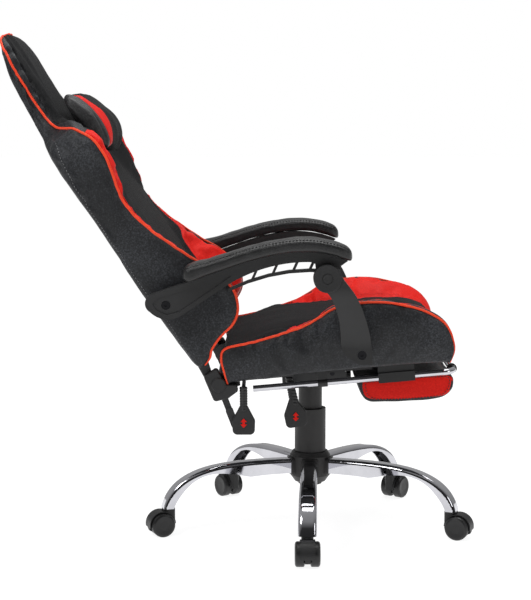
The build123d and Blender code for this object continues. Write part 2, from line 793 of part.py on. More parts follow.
def make_back_wings():
    wing = ruled_between(wing_inner_outline(), back_core_half, wing_outer_outline(), back_half)
    wing = wing - back_frame_raw() - upper_arm_raw()
    wing -= rod_y(arm_bolt_f, arm_bolt_b, bolt_r, upper_arm_y, back_half + 1)
    wing = wing.solids().sort_by(SortBy.VOLUME)[-1]
    return back_frame_place * both_sides(wing)


def make_neck_pillow():
    outline = [(62, 510), (62, 640), (74, 648), (90, 644), (110, 610), (121, 568), (113, 525),
               (88, 497)]
    pillow = slab(rounded(outline, [8, 8, 6, 10, 20, 20, 14, 10]), -pillow_half, pillow_half)
    ends = pillow.faces().sort_by(Axis.Y)
    pillow = chamfer(ends[0].edges() + ends[-1].edges(), length=8, length2=3)
    core = slab(poly(back_core_outline()), -pillow_half, pillow_half)
    pillow -= pillow_strap()
    pillow -= other_side(pillow_strap())
    return back_frame_place * (pillow - core)


def pillow_strap():
    return slab(poly([(59, 560), (75, 560), (75, 575), (59, 575)]), 90, 120)


def make_pillow_straps():
    """Two elastic straps that hold the pillow to the back."""
    return back_frame_place * both_sides(pillow_strap())


# ---- armrests ----
def pad_underside():
    """The line between the armrest pad and its bracket, as (x, z)."""
    return [(-246, 555), (-148, 589), (-41, 613), (26, 608), (64, 596)]


def arm_pad():
    under = pad_underside()
    top = [(72, 607), (66, 625), (38, 637), (-41, 643), (-149, 620), (-244, 585)]
    outline = [Spline(*under), Spline(under[-1], top[0], top[1]), Spline(*top[1:]),
               Line(top[-1], (-254, 572)), Line((-254, 572), under[0])]
    pad = slab(Wire(outline), -pad_outer_y, -pad_inner_y)
    return pad


def arm_beam():
    """The upper beam of an armrest bracket with its rear lobe."""
    under = pad_underside()
    outline = [Spline(*under), Line(under[-1], (50, 586)), Line((50, 586), (-9, 594)),
               Spline((-9, 594), (-48, 592), (-106, 579), (-165, 552)),
               Line((-165, 552), (-262, 488)),
               ThreePointArc((-262, 488), (arm_bolt_x - 6, arm_bolt_z - 27), (-320, 496)),
               ThreePointArc((-320, 496), (-330, 513), (-318, 531)),
               Line((-318, 531), under[0])]
    return slab(Wire(outline), -arm_outer_y, -arm_inner_y)


def rib_rail_z(x):
    """Height of the arched lower rail's centre line."""
    return 577.0 - 0.0015 * (x + 8.0) ** 2


def arm_ribs():
    """The arched lower rail and its four slanted ribs."""
    low, high = 6 - arm_outer_y, -arm_inner_y - 6
    xs = (-168, -130, -90, -50, -10, 12)
    upper = [(x, rib_rail_z(x) + 3) for x in xs]
    lower = [(x, rib_rail_z(x) - 3) for x in reversed(xs)]
    rail = slab(poly(upper + lower), low, high)
    for x in (-122, -82, -42, -10):
        z = rib_rail_z(x)
        top = z + 22
        rail += slab(poly([(x - 2.5, z), (x + 2.5, z), (x + 12.5, top), (x + 7.5, top)]),
                     low, high)
    return rail


def make_arm_bracket():
    beam = arm_beam()
    ribs = arm_ribs() & slab(poly([(-180, 500), (-180, 560), (-148, 588), (-41, 611),
                                   (40, 605), (40, 500)]), -arm_outer_y, -arm_inner_y)
    ear = rod_y(arm_pivot_x, arm_pivot_z, 23.0, -arm_outer_y, -arm_inner_y)
    ear += slab(poly([(arm_pivot_x - 20, arm_pivot_z + 4), (arm_pivot_x + 20, arm_pivot_z + 4),
                      (arm_pivot_x + 24, 592), (arm_pivot_x - 24, 596)]),
                -arm_outer_y, -arm_inner_y)
    bracket = beam + ribs + ear
    recess = [(-316, 512), (-306, 523), (-235, 545), (-158, 570), (-200, 540), (-264, 497),
              (-288, 491), (-308, 500)]
    bracket -= slab(rounded(recess, [4, 5, 10, 1, 10, 6, 5, 4]), -arm_outer_y, 2 - arm_outer_y)
    bracket -= rod_y(arm_bolt_x, arm_bolt_z, bolt_r + running_gap, -300, -200)
    bracket -= rod_y(arm_bolt_x, arm_bolt_z, bolt_head_r + 0.4, -arm_outer_y - 1, 9 - arm_outer_y)
    return bracket - rod_y(arm_pivot_x, arm_pivot_z, bolt_r + loop_clearance, -300, -200)


def make_arm_rear_bolts():
    """The bolts on which the armrests hinge at the back, in the back's own frame."""
    bolt = rod_y(arm_bolt_f, arm_bolt_b, bolt_r, upper_arm_y, arm_outer_y - 8.6)
    bolt += rod_y(arm_bolt_f, arm_bolt_b, bolt_head_r, arm_outer_y - 8.6, arm_outer_y - 3)
    bolt += rod_y(arm_bolt_f, arm_bolt_b, 12.0, back_half, arm_inner_y - 0.4)
    key = Plane(origin=(arm_bolt_f, arm_outer_y - 3, arm_bolt_b), z_dir=(0, -1, 0))
    bolt -= extrude(key * RegularPolygon(3.4, 6), amount=3)
    return back_frame_place * both_sides(bolt)


def strut_outline():
    """Side outline of an armrest strut, as (x, z)."""
    left = Spline((arm_pivot_x - 22, arm_pivot_z - 6), (22, 538), (41, 503), (50, 463), (52, 429),
                  tangents=[(0.6, -0.8), (0.05, -1)])
    right = Spline((strut_bolt_x + 21, strut_bolt_z - 19), (109, 446), (98, 486), (79, 530),
                   (arm_pivot_x + 25, arm_pivot_z + 8), tangents=[(-0.05, 1), (-0.5, 0.85)])
    corner = (strut_bolt_x - 6, strut_bolt_z - 19)
    return Wire([left, Line((52, 429), (58, 411)), Line((58, 411), corner),
                 Line(corner, right @ 0), right, Line(right @ 1, left @ 0)])


def make_arm_strut():
    """The front strut, set over outward from the seat side to the armrest."""
    step = strut_top_y - strut_inner_y
    full = slab(strut_outline(), -strut_top_y - strut_thick, -strut_inner_y)
    low_z, high_z = strut_bolt_z + 25, arm_pivot_z - 30
    band = [(-strut_inner_y, 350), (-strut_inner_y, low_z), (-strut_inner_y - step, high_z),
            (-strut_inner_y - step, 620), (-strut_inner_y - step - strut_thick, 620),
            (-strut_inner_y - step - strut_thick, high_z), (-strut_inner_y - strut_thick, low_z),
            (-strut_inner_y - strut_thick, 350)]
    view = Plane(origin=(-100, 0, 0), x_dir=(0, 1, 0), z_dir=(1, 0, 0))
    strut = full & extrude(view * make_face(rounded(band, [0, 60, 60, 0, 0, 60, 60, 0])),
                           amount=400)
    outer = -strut_top_y - disc_thick
    disc = rod_y(arm_pivot_x, arm_pivot_z, disc_r, outer, -strut_top_y)
    disc = fillet(disc.edges().group_by(Axis.Y)[0], radius=2)
    groove = rod_y(arm_pivot_x, arm_pivot_z, 11.0, outer - 1, outer + 1.5)
    groove -= rod_y(arm_pivot_x, arm_pivot_z, 9.0, outer - 1, outer + 1.5)
    strut = strut + disc - groove
    strut -= rod_y(strut_bolt_x, strut_bolt_z, bolt_r + running_gap, -330, -200)
    strut -= rod_y(strut_bolt_x, strut_bolt_z, bolt_head_r + 0.4, -330,
                   8 - strut_inner_y - strut_thick)
    return strut - rod_y(arm_pivot_x, arm_pivot_z, bolt_r, 10 - strut_top_y - disc_thick, -200)


def make_arm_pivot():
    """The bolt and washer that join armrest and strut."""
    bolt = rod_y(arm_pivot_x, arm_pivot_z, bolt_r, 10 - strut_top_y - disc_thick, 1 - arm_inner_y)
    washer = rod_y(arm_pivot_x, arm_pivot_z, 15.0, 0.6 - arm_inner_y, 3.0 - arm_inner_y)
    return bolt + washer


# ---- footrest ----
def rail_path():
    points = [(rail_rear, -rail_half), (rail_front, -rail_half), (rail_front, rail_half),
              (rail_rear, rail_half)]
    return FilletPolyline(*[(s, y, rail_n) for s, y in points], radius=rail_corner)


def make_footrest_rails():
    path = rail_path()
    return seat_frame * (swept(path, rail_r) - swept(path, rail_r - rail_wall))


def make_rail_guides():
    """Sleeves under the seat in which the rails slide."""
    guides = []
    half = sleeve_side / 2
    for low, high in (front_sleeve, rear_sleeve):
        if low == rear_sleeve[0]:
            sleeve = rod_x(-rail_half, rail_n, rail_r + rear_sleeve_wall, low, high)
        else:
            sleeve = block((low, high), (-rail_half - half, half - rail_half),
                           (rail_n - half, rail_n + half))
        sleeve += block((low, high), (-rail_half - 5, 5 - rail_half), (rail_n, 0))
        sleeve += block((low, high), (-rail_half - half, half - rail_half), (-3, 0))
        sleeve -= rod_x(-rail_half, rail_n, rail_r + joint_gap, low - 1, high + 1)
        guides += [sleeve, other_side(sleeve)]
    return seat_frame * Compound(children=guides)


def foot_outline():
    """Side outline of the folded footrest pad, as (s, n)."""
    top = rail_n - rail_r - foot_gap
    return [(92, top), (104, top - 30), (124, top - 43), (175, top - 48), (240, top - 47),
            (270, top - 41), (285, top - 24), (286, top)]


def foot_board_raw():
    top = rail_n - rail_r - foot_gap
    board = block((104, 276), (-foot_board_half, foot_board_half), (top - foot_board_thick, top))
    for side in (-1, 1):
        y = side * hinge_ear_y
        span = (y - hinge_ear_thick / 2, y + hinge_ear_thick / 2)
        ear = rod_y(rail_front, rail_n, rail_r + 4, *span)
        ear += slab(poly([(250, top - 1), (rail_front - 5, rail_n - rail_r - 3),
                          (rail_front + 4, rail_n - rail_r), (rail_front - 11, rail_n),
                          (270, top + 0.5), (250, top + 0.5)]), *span)
        board += ear
    return board


def make_footrest_board():
    hole = rod_y(rail_front, rail_n, rail_r + 0.3, -rail_half, rail_half)
    return seat_frame * (foot_board_raw() - hole)


def make_footrest_pad():
    pad = slab(rounded(foot_outline(), [2, 12, 14, 60, 60, 12, 12, 2]), -foot_half, foot_half)
    return seat_frame * (pad - foot_board_raw())


# ---- assembly ----
def all_nodes():
    nodes = {
        "hub_socket": make_hub_socket(),
        "hub_cover": make_hub_cover(),
        "star_legs": make_star_legs(),
        "castor_sockets": make_castor_sockets(),
        "lift_column": make_lift_column(),
        "column_cover": make_column_cover(),
        "column_bush": make_column_bush(),
        "thrust_bearing": make_thrust_bearing(),
        "piston_rod": make_piston_rod(),
        "gas_cylinder": make_gas_cylinder(),
        "valve_button": make_valve_button(),
        "mech_bracket": make_mech_bracket(),
        "tension_knob": make_tension_knob(),
        "tension_spring": make_tension_spring(),
        "seat_plate": make_seat_plate(),
        "seat_bolts": make_seat_bolts(),
        "seat_pan": make_seat_pan(),
        "seat_cushion": make_seat_cushion(),
        "seat_bolsters": make_seat_bolsters(),
        "recliner_lower_arms": make_recliner_lower_arms(),
        "recliner_covers": make_recliner_covers(),
        "recline_lever": make_recline_lever(),
        "height_lever": make_height_lever(),
        "height_paddle": lever_paddle(height_lever_s, height_lever_n, height_paddle_y,
                                      height_paddle_lean, height_neck),
        "tilt_lever": make_tilt_lever(),
        "tilt_paddle": lever_paddle(tilt_lever_s, tilt_lever_n, tilt_paddle_y,
                                    tilt_paddle_lean, tilt_neck),
        "rail_guides": make_rail_guides(),
        "recliner_upper_arms": make_recliner_upper_arms(),
        "back_frame": make_back_frame(),
        "back_cushion": make_back_cushion(),
        "back_wings": make_back_wings(),
        "neck_pillow": make_neck_pillow(),
        "pillow_straps": make_pillow_straps(),
        "arm_rear_bolts": make_arm_rear_bolts(),
        "footrest_rails": make_footrest_rails(),
        "footrest_board": make_footrest_board(),
        "footrest_pad": make_footrest_pad(),
    }
    nodes.update(make_castors())
    for name, shape in (("arm_bracket", make_arm_bracket()), ("arm_pad", arm_pad()),
                        ("arm_strut", make_arm_strut()), ("arm_pivot", make_arm_pivot())):
        nodes[name + "_right"] = shape
        nodes[name + "_left"] = other_side(shape)
    return nodes


os.makedirs("parts", exist_ok=True)
for node_name, node_shape in all_nodes().items():
    export_step(Pos(swivel_x, swivel_y, 0) * node_shape, f"parts/{node_name}.step")
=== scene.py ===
import json
from math import cos, pi, radians, sin

import bmesh
import bpy
import numpy as np
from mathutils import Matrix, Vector


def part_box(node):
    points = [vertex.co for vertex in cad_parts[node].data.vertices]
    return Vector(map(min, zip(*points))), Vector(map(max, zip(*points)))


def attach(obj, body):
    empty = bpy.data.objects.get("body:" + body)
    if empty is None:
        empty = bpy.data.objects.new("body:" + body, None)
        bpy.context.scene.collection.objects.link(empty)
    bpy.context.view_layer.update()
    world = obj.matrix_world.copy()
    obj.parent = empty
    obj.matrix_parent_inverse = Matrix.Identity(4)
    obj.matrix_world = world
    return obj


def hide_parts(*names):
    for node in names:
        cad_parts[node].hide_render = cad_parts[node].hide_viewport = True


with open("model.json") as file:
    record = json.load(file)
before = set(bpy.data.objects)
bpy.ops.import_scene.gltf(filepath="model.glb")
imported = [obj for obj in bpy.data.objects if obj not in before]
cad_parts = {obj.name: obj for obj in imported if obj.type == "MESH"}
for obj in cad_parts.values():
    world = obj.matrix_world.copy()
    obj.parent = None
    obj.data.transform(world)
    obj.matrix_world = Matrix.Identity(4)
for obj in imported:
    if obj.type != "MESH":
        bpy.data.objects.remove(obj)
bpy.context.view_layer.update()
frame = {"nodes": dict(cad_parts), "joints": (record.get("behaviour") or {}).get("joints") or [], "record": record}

joints = {j["name"]: j for j in frame["joints"]}

# ---------------------------------------------------------------- places
swivel = np.array(joints["seat_swivel"]["pos_m"])
hinge = np.array(joints["recline"]["pos_m"])
along = np.array(joints["footrest_slide"]["axis"])
PITCH = np.arctan2(along[2], along[0])
RECLINE = radians(35.0)
SEAT_Z = 0.365
MM = 0.001
WELT_RADIUS = 0.0026
WELT_LIFT = 0.0012


def turned(origin, angle, u, v, y):
    """Points from a tilted side view: u ahead, v up, y to the left; all in millimetres."""
    u, v, y = (np.asarray(a, float) * MM for a in (u, v, y))
    x = origin[0] + u * np.cos(angle) - v * np.sin(angle)
    z = origin[2] + u * np.sin(angle) + v * np.cos(angle)
    return np.stack(np.broadcast_arrays(x, swivel[1] + y, z), axis=-1)


def seat_at(s, n, y):
    return turned((swivel[0], 0, SEAT_Z), PITCH, s, n, y)


def back_at(f, b, y):
    return turned(hinge, RECLINE, f, b, y)


def level_at(x, z, y):
    return turned((swivel[0], 0, 0), 0.0, x, z, y)


# ---------------------------------------------------------------- materials
def principled(name, color, rough, **inputs):
    """A material with its tree, its shader and its place on the object."""
    mat = bpy.data.materials.new(name)
    mat.use_nodes = True
    tree = mat.node_tree
    shader = tree.nodes["Principled BSDF"]
    shader.inputs["Base Color"].default_value = (*color, 1)
    shader.inputs["Roughness"].default_value = rough
    for key, value in inputs.items():
        shader.inputs[key.replace("_", " ")].default_value = value
    place = tree.nodes.new("ShaderNodeTexCoord").outputs["Object"]
    return mat, tree, shader, place


def node(tree, kind, **values):
    """A shader node with its properties and inputs set."""
    made = tree.nodes.new("ShaderNode" + kind)
    for key, value in values.items():
        if hasattr(made, key):
            setattr(made, key, value)
        else:
            made.inputs[key.replace("_", " ")].default_value = value
    return made


def noise(tree, place, scale, detail=4.0, rough=0.55):
    made = node(tree, "TexNoise", Scale=scale, Detail=detail, Roughness=rough)
    tree.links.new(place, made.inputs["Vector"])
    return made.outputs["Fac"]


def cells(tree, place, scale):
    made = node(tree, "TexVoronoi", feature="SMOOTH_F1", Scale=scale)
    tree.links.new(place, made.inputs["Vector"])
    return made.outputs["Distance"]


def ramp(tree, fac, stops):
    """A colour ramp with stops of (place, colour)."""
    made = tree.nodes.new("ShaderNodeValToRGB")
    tree.links.new(fac, made.inputs["Fac"])
    line = made.color_ramp
    while len(line.elements) < len(stops):
        line.elements.new(0.5)
    for element, (at, color) in zip(line.elements, stops):
        element.position = at
        element.color = (*color, 1)
    return made.outputs["Color"]


def grey(value):
    return (value, value, value)


def math_node(tree, operation, a, b):
    made = node(tree, "Math", operation=operation)
    for socket, value in zip(made.inputs, (a, b)):
        if isinstance(value, (int, float)):
            socket.default_value = value
        else:
            tree.links.new(value, socket)
    return made.outputs[0]


def bumped(tree, shader, layers):
    """Several heights, each with its own strength and depth in metres."""
    last = None
    for height, strength, depth in layers:
        made = node(tree, "Bump", Strength=strength, Distance=depth)
        tree.links.new(height, made.inputs["Height"])
        if last is not None:
            tree.links.new(last, made.inputs["Normal"])
        last = made.outputs["Normal"]
    tree.links.new(last, shader.inputs["Normal"])


def leather(name, dark, middle, light, rough, specular, grain=300.0):
    """Grained coated leather: a speckled pebble grain, lighter where it is worn."""
    mat, tree, shader, place = principled(name, middle, rough, Specular_IOR_Level=specular)
    pebble = cells(tree, place, 2.2 * grain)
    crease = noise(tree, place, 45, 5, 0.6)
    speck = noise(tree, place, grain, 6, 0.75)
    patch = noise(tree, place, 9, 3, 0.5)
    mixed = math_node(tree, "ADD", math_node(tree, "MULTIPLY", speck, 0.72),
                      math_node(tree, "MULTIPLY", patch, 0.28))
    tree.links.new(ramp(tree, mixed, [(0.36, dark), (0.50, middle), (0.64, light)]),
                   shader.inputs["Base Color"])
    tree.links.new(ramp(tree, patch, [(0.3, grey(rough - 0.07)), (0.7, grey(rough + 0.08))]),
                   shader.inputs["Roughness"])
    bumped(tree, shader, [(pebble, 0.5, 0.0006), (speck, 0.35, 0.0009), (crease, 0.22, 0.0015)])
    return mat


def mesh_cloth(name, dark, light, pitch):
    """Fine knitted cloth with small dimples in rows."""
    mat, tree, shader, place = principled(name, dark, 0.9, Sheen_Weight=0.04,
                                          Sheen_Roughness=0.5, Specular_IOR_Level=0.2)
    turn = node(tree, "Mapping")
    turn.inputs["Rotation"].default_value = (0.0, radians(35), 0.0)
    tree.links.new(place, turn.inputs["Vector"])
    threads = []
    for direction in ("Y", "Z"):
        wave = node(tree, "TexWave", bands_direction=direction, Scale=0.314 / pitch)
        tree.links.new(turn.outputs["Vector"], wave.inputs["Vector"])
        threads.append(wave.outputs["Fac"])
    weave = math_node(tree, "MULTIPLY", threads[0], threads[1])
    fuzz = noise(tree, place, 240, 4)
    tone = math_node(tree, "ADD", math_node(tree, "MULTIPLY", weave, 0.6),
                     math_node(tree, "MULTIPLY", fuzz, 0.4))
    tree.links.new(ramp(tree, tone, [(0.15, dark), (0.75, light)]), shader.inputs["Base Color"])
    bumped(tree, shader, [(weave, 0.5, 0.0006), (fuzz, 0.2, 0.0008)])
    return mat


def plastic(name, color, rough, texture=1100.0):
    """Finely textured plastic, lighter where it is worn."""
    mat, tree, shader, place = principled(name, color, rough, Specular_IOR_Level=0.42)
    stipple = noise(tree, place, texture, 2, 0.6)
    wear = noise(tree, place, 14, 4, 0.6)
    light = tuple(c * 1.8 + 0.004 for c in color)
    tree.links.new(ramp(tree, wear, [(0.35, color), (0.75, light)]), shader.inputs["Base Color"])
    tree.links.new(ramp(tree, wear, [(0.3, grey(rough - 0.06)), (0.7, grey(rough + 0.1))]),
                   shader.inputs["Roughness"])
    bumped(tree, shader, [(stipple, 0.3, 0.0004)])
    return mat


def metal(name, color, low, high, scale, brushed=False):
    """Bare or plated metal, between two roughnesses."""
    mat, tree, shader, place = principled(name, color, low, Metallic=1.0)
    stretch = node(tree, "Mapping")
    stretch.inputs["Scale"].default_value = (1, 1, 12) if brushed else (1, 1, 1)
    tree.links.new(place, stretch.inputs["Vector"])
    smear = noise(tree, stretch.outputs["Vector"], scale, 4, 0.6)
    tree.links.new(ramp(tree, smear, [(0.35, grey(low)), (0.7, grey(high))]),
                   shader.inputs["Roughness"])
    dim = tuple(c * 0.86 for c in color)
    tree.links.new(ramp(tree, smear, [(0.3, dim), (0.6, color)]), shader.inputs["Base Color"])
    bumped(tree, shader, [(smear, 0.05, 0.0004)])
    return mat


black_leather = leather("black_leather", (0.003, 0.0032, 0.004), (0.011, 0.0118, 0.014),
                        (0.05, 0.054, 0.062), 0.52, 0.34)
dark_leather = leather("dark_leather", (0.005, 0.005, 0.0055), (0.018, 0.018, 0.019),
                       (0.06, 0.06, 0.062), 0.44, 0.4)
pad_leather = leather("pad_leather", (0.004, 0.004, 0.0045), (0.009, 0.009, 0.0095),
                      (0.024, 0.024, 0.025), 0.36, 0.45, 420)
red_leather = leather("red_leather", (0.62, 0.008, 0.005), (0.72, 0.012, 0.007),
                      (0.84, 0.020, 0.011), 0.55, 0.14)
red_piping = leather("red_piping", (0.80, 0.045, 0.016), (0.88, 0.065, 0.022),
                     (0.95, 0.09, 0.03), 0.48, 0.2)
black_cloth = mesh_cloth("black_cloth", (0.0016, 0.0018, 0.0023), (0.0085, 0.009, 0.0105),
                         0.0016)
web_cloth = mesh_cloth("web_cloth", (0.006, 0.006, 0.006), (0.03, 0.03, 0.03), 0.0011)
thread_dark = plastic("thread_dark", (0.035, 0.035, 0.037), 0.7)
thread_pad = plastic("thread_pad", (0.055, 0.055, 0.056), 0.6)
thread_pale = plastic("thread_pale", (0.22, 0.22, 0.225), 0.7)
thread_red = plastic("thread_red", (0.55, 0.02, 0.015), 0.7)
plastic_black = plastic("plastic_black", (0.0085, 0.0085, 0.009), 0.45)
plastic_wheel = plastic("plastic_wheel", (0.009, 0.009, 0.0095), 0.36, 700)
plastic_grey = plastic("plastic_grey", (0.020, 0.0192, 0.0192), 0.50)
paint_black = plastic("paint_black", (0.010, 0.010, 0.011), 0.32, 500)
chrome = metal("chrome", (0.60, 0.60, 0.635), 0.035, 0.09, 18)
steel = metal("steel", (0.58, 0.58, 0.60), 0.22, 0.36, 90, True)
# steel darkened almost to black: painted shade, so the bolts and arm pivots read as the shaded recesses they sit
# in
recess_shade_steel = metal("recess_shade_steel", (0.02, 0.02, 0.022), 0.28, 0.42, 90)


def dress(names, mat):
    """Gives CAD nodes a material of their own."""
    for name in names:
        mesh = frame["nodes"][name].data
        mesh.materials.clear()
        mesh.materials.append(mat)


slot_look = {"chrome": chrome, "steel": steel, "black_metal": paint_black,
             "black_plastic": plastic_black, "wheel_plastic": plastic_wheel,
             "black_mesh": black_cloth, "black_leather": black_leather}
for part in frame["record"]["subparts"]:
    dress([part["node"]], slot_look[part["material_slot"]])
dress(["column_cover", "hub_cover", "gas_cylinder", "lift_column"], plastic_grey)
# the bolts and arm pivots get the darkened steel, which is painted shade of their recesses
dress(["seat_bolts", "arm_rear_bolts", "arm_pivot_right", "arm_pivot_left"], recess_shade_steel)
for number in range(1, 6):
    dress([f"castor_{number}_hood"], plastic_black)


# ---------------------------------------------------------------- building
PER_KEY = 24


def smooth_line(keys, per=PER_KEY):
    """Catmull-Rom through the rows of keys."""
    keys = np.asarray(keys, float)
    ends = np.vstack([2 * keys[0] - keys[1], keys, 2 * keys[-1] - keys[-2]])
    rows = []
    for i in range(len(keys) - 1):
        a, b, c, d = ends[i:i + 4]
        for t in np.arange(per) / per:
            rows.append(0.5 * (2 * b + (c - a) * t + (2 * a - 5 * b + 4 * c - d) * t * t
                               + (3 * b - a - 3 * c + d) * t ** 3))
    rows.append(keys[-1])
    return np.array(rows)


def evenly(rows, count, measure):
    """Rows picked at even steps of the length of some of their columns."""
    step = np.linalg.norm(np.diff(rows[:, measure], axis=0), axis=1)
    far = np.concatenate([[0], np.cumsum(step)])
    want = np.linspace(0, far[-1], count)
    return np.stack([np.interp(want, far, column) for column in rows.T], axis=1)


def ease(t):
    """0 to 1 with a soft start and end."""
    t = np.clip(t, 0, 1)
    return t * t * (3 - 2 * t)


def grid_normals(grid):
    """Outward normals of a closed-loop grid of points."""
    down = np.gradient(grid, axis=0)
    across = (np.roll(grid, -1, axis=1) - np.roll(grid, 1, axis=1)) / 2
    n = np.cross(across, down)
    length = np.linalg.norm(n, axis=2, keepdims=True)
    n = n / np.maximum(length, 1e-9)
    centre = grid.mean(axis=(0, 1))
    middle = len(grid) // 2
    facing = ((grid[middle] - grid[middle].mean(axis=0)) * n[middle]).sum()
    return n if facing > 0 else -n


def new_object(name, verts, faces, mats, which=None, smooth=True):
    """A cleaned mesh object. which gives each face's material, and is 0 for all without it."""
    mesh = bpy.data.meshes.new(name)
    mesh.from_pydata([tuple(v) for v in verts], [], faces)
    for mat in mats:
        mesh.materials.append(mat)
    if which is not None:
        mesh.polygons.foreach_set("material_index", np.asarray(which, np.int32))
    mesh.polygons.foreach_set("use_smooth", np.full(len(mesh.polygons), smooth))
    shape = bmesh.new()
    shape.from_mesh(mesh)
    bmesh.ops.remove_doubles(shape, verts=shape.verts, dist=1e-6)
    bmesh.ops.dissolve_degenerate(shape, edges=shape.edges, dist=1e-7)
    bmesh.ops.recalc_face_normals(shape, faces=shape.faces)
    shape.to_mesh(mesh)
    shape.free()
    obj = bpy.data.objects.new(name, mesh)
    bpy.context.scene.collection.objects.link(obj)
    return obj


def loop_grid(name, grid, mats, kind):
    """A closed tube of rows, capped at both ends. kind gives each face's material."""
    rows, cols = grid.shape[:2]
    faces, which = [], []
    for i in range(rows - 1):
        for j in range(cols):
            k = (j + 1) % cols
            faces.append((i * cols + j, i * cols + k, (i + 1) * cols + k, (i + 1) * cols + j))
            which.append(kind(i, j))
    for i in (0, rows - 1):
        faces.append(tuple(range(i * cols, i * cols + cols)))
        which.append(kind(min(i, rows - 2), 0))
    return new_object(name, grid.reshape(-1, 3), faces, mats, which)


def tube(name, points, radius, mat, sides=10):
    """A welt along a line of points, capped at both ends."""
    points = np.asarray(points, float)
    ahead = np.gradient(points, axis=0)
    ahead /= np.maximum(np.linalg.norm(ahead, axis=1, keepdims=True), 1e-12)
    side = np.cross(ahead[0], (0.3, 0.1, 1.0))
    side /= np.linalg.norm(side)
    rings = []
    for p, t in zip(points, ahead):
        side = side - t * side.dot(t)
        side /= np.linalg.norm(side)
        other = np.cross(t, side)
        turn = np.arange(sides) * 2 * pi / sides
        rings.append(p + radius * (np.outer(np.cos(turn), side) + np.outer(np.sin(turn), other)))
    verts = np.concatenate(rings)
    count = len(points)
    faces = []
    for i in range(count - 1):
        n = i + 1
        for j in range(sides):
            k = (j + 1) % sides
            faces.append((i * sides + j, i * sides + k, n * sides + k, n * sides + j))
    faces.append(tuple(range(sides)))
    faces.append(tuple(range((count - 1) * sides, count * sides)))
    return new_object(name, verts, faces, [mat])


def stitches(name, points, normals, mat, length=0.0042, gap=0.0022, radius=0.00042, lift=0.0001):
    """A row of separate thread stitches along a line on a surface."""
    points, normals = np.asarray(points, float), np.asarray(normals, float)
    far = np.concatenate([[0], np.cumsum(np.linalg.norm(np.diff(points, axis=0), axis=1))])
    verts, faces = [], []
    at = gap
    while at + length < far[-1]:
        spots = np.linspace(at, at + length, 5)
        line = np.stack([np.interp(spots, far, points[:, k]) for k in range(3)], axis=1)
        up = np.stack([np.interp(spots, far, normals[:, k]) for k in range(3)], axis=1)
        rise = np.array([-0.9, 0.5, 0.9, 0.5, -0.9])[:, None] * radius
        line = line + up * (rise + lift)
        ahead = line[-1] - line[0]
        ahead /= np.linalg.norm(ahead)
        cross = np.cross(ahead, up[2])
        cross /= max(np.linalg.norm(cross), 1e-9)
        base = len(verts)
        for p, u in zip(line, up):
            for a in range(6):
                turn = a * pi / 3
                verts.append(p + radius * (cos(turn) * cross * 1.15 + sin(turn) * u))
        for i in range(4):
            for j in range(6):
                k = (j + 1) % 6
                faces.append((base + i * 6 + j, base + i * 6 + k,
                              base + i * 6 + 6 + k, base + i * 6 + 6 + j))
        faces.append(tuple(base + j for j in range(6)))
        faces.append(tuple(base + 24 + j for j in range(6)))
        at += length + gap
    return new_object(name, verts, faces, [mat])


def wander(points, scale, seed):
    """Smooth repeatable unevenness, about -1 to 1, at each point."""
    made = np.random.default_rng(seed)
    total = np.zeros(points.shape[:-1])
    for _ in range(7):
        wave = made.normal(size=3) * 2 * pi / scale
        total += np.sin(points @ wave + made.uniform(0, 2 * pi))
    return total / 3.0


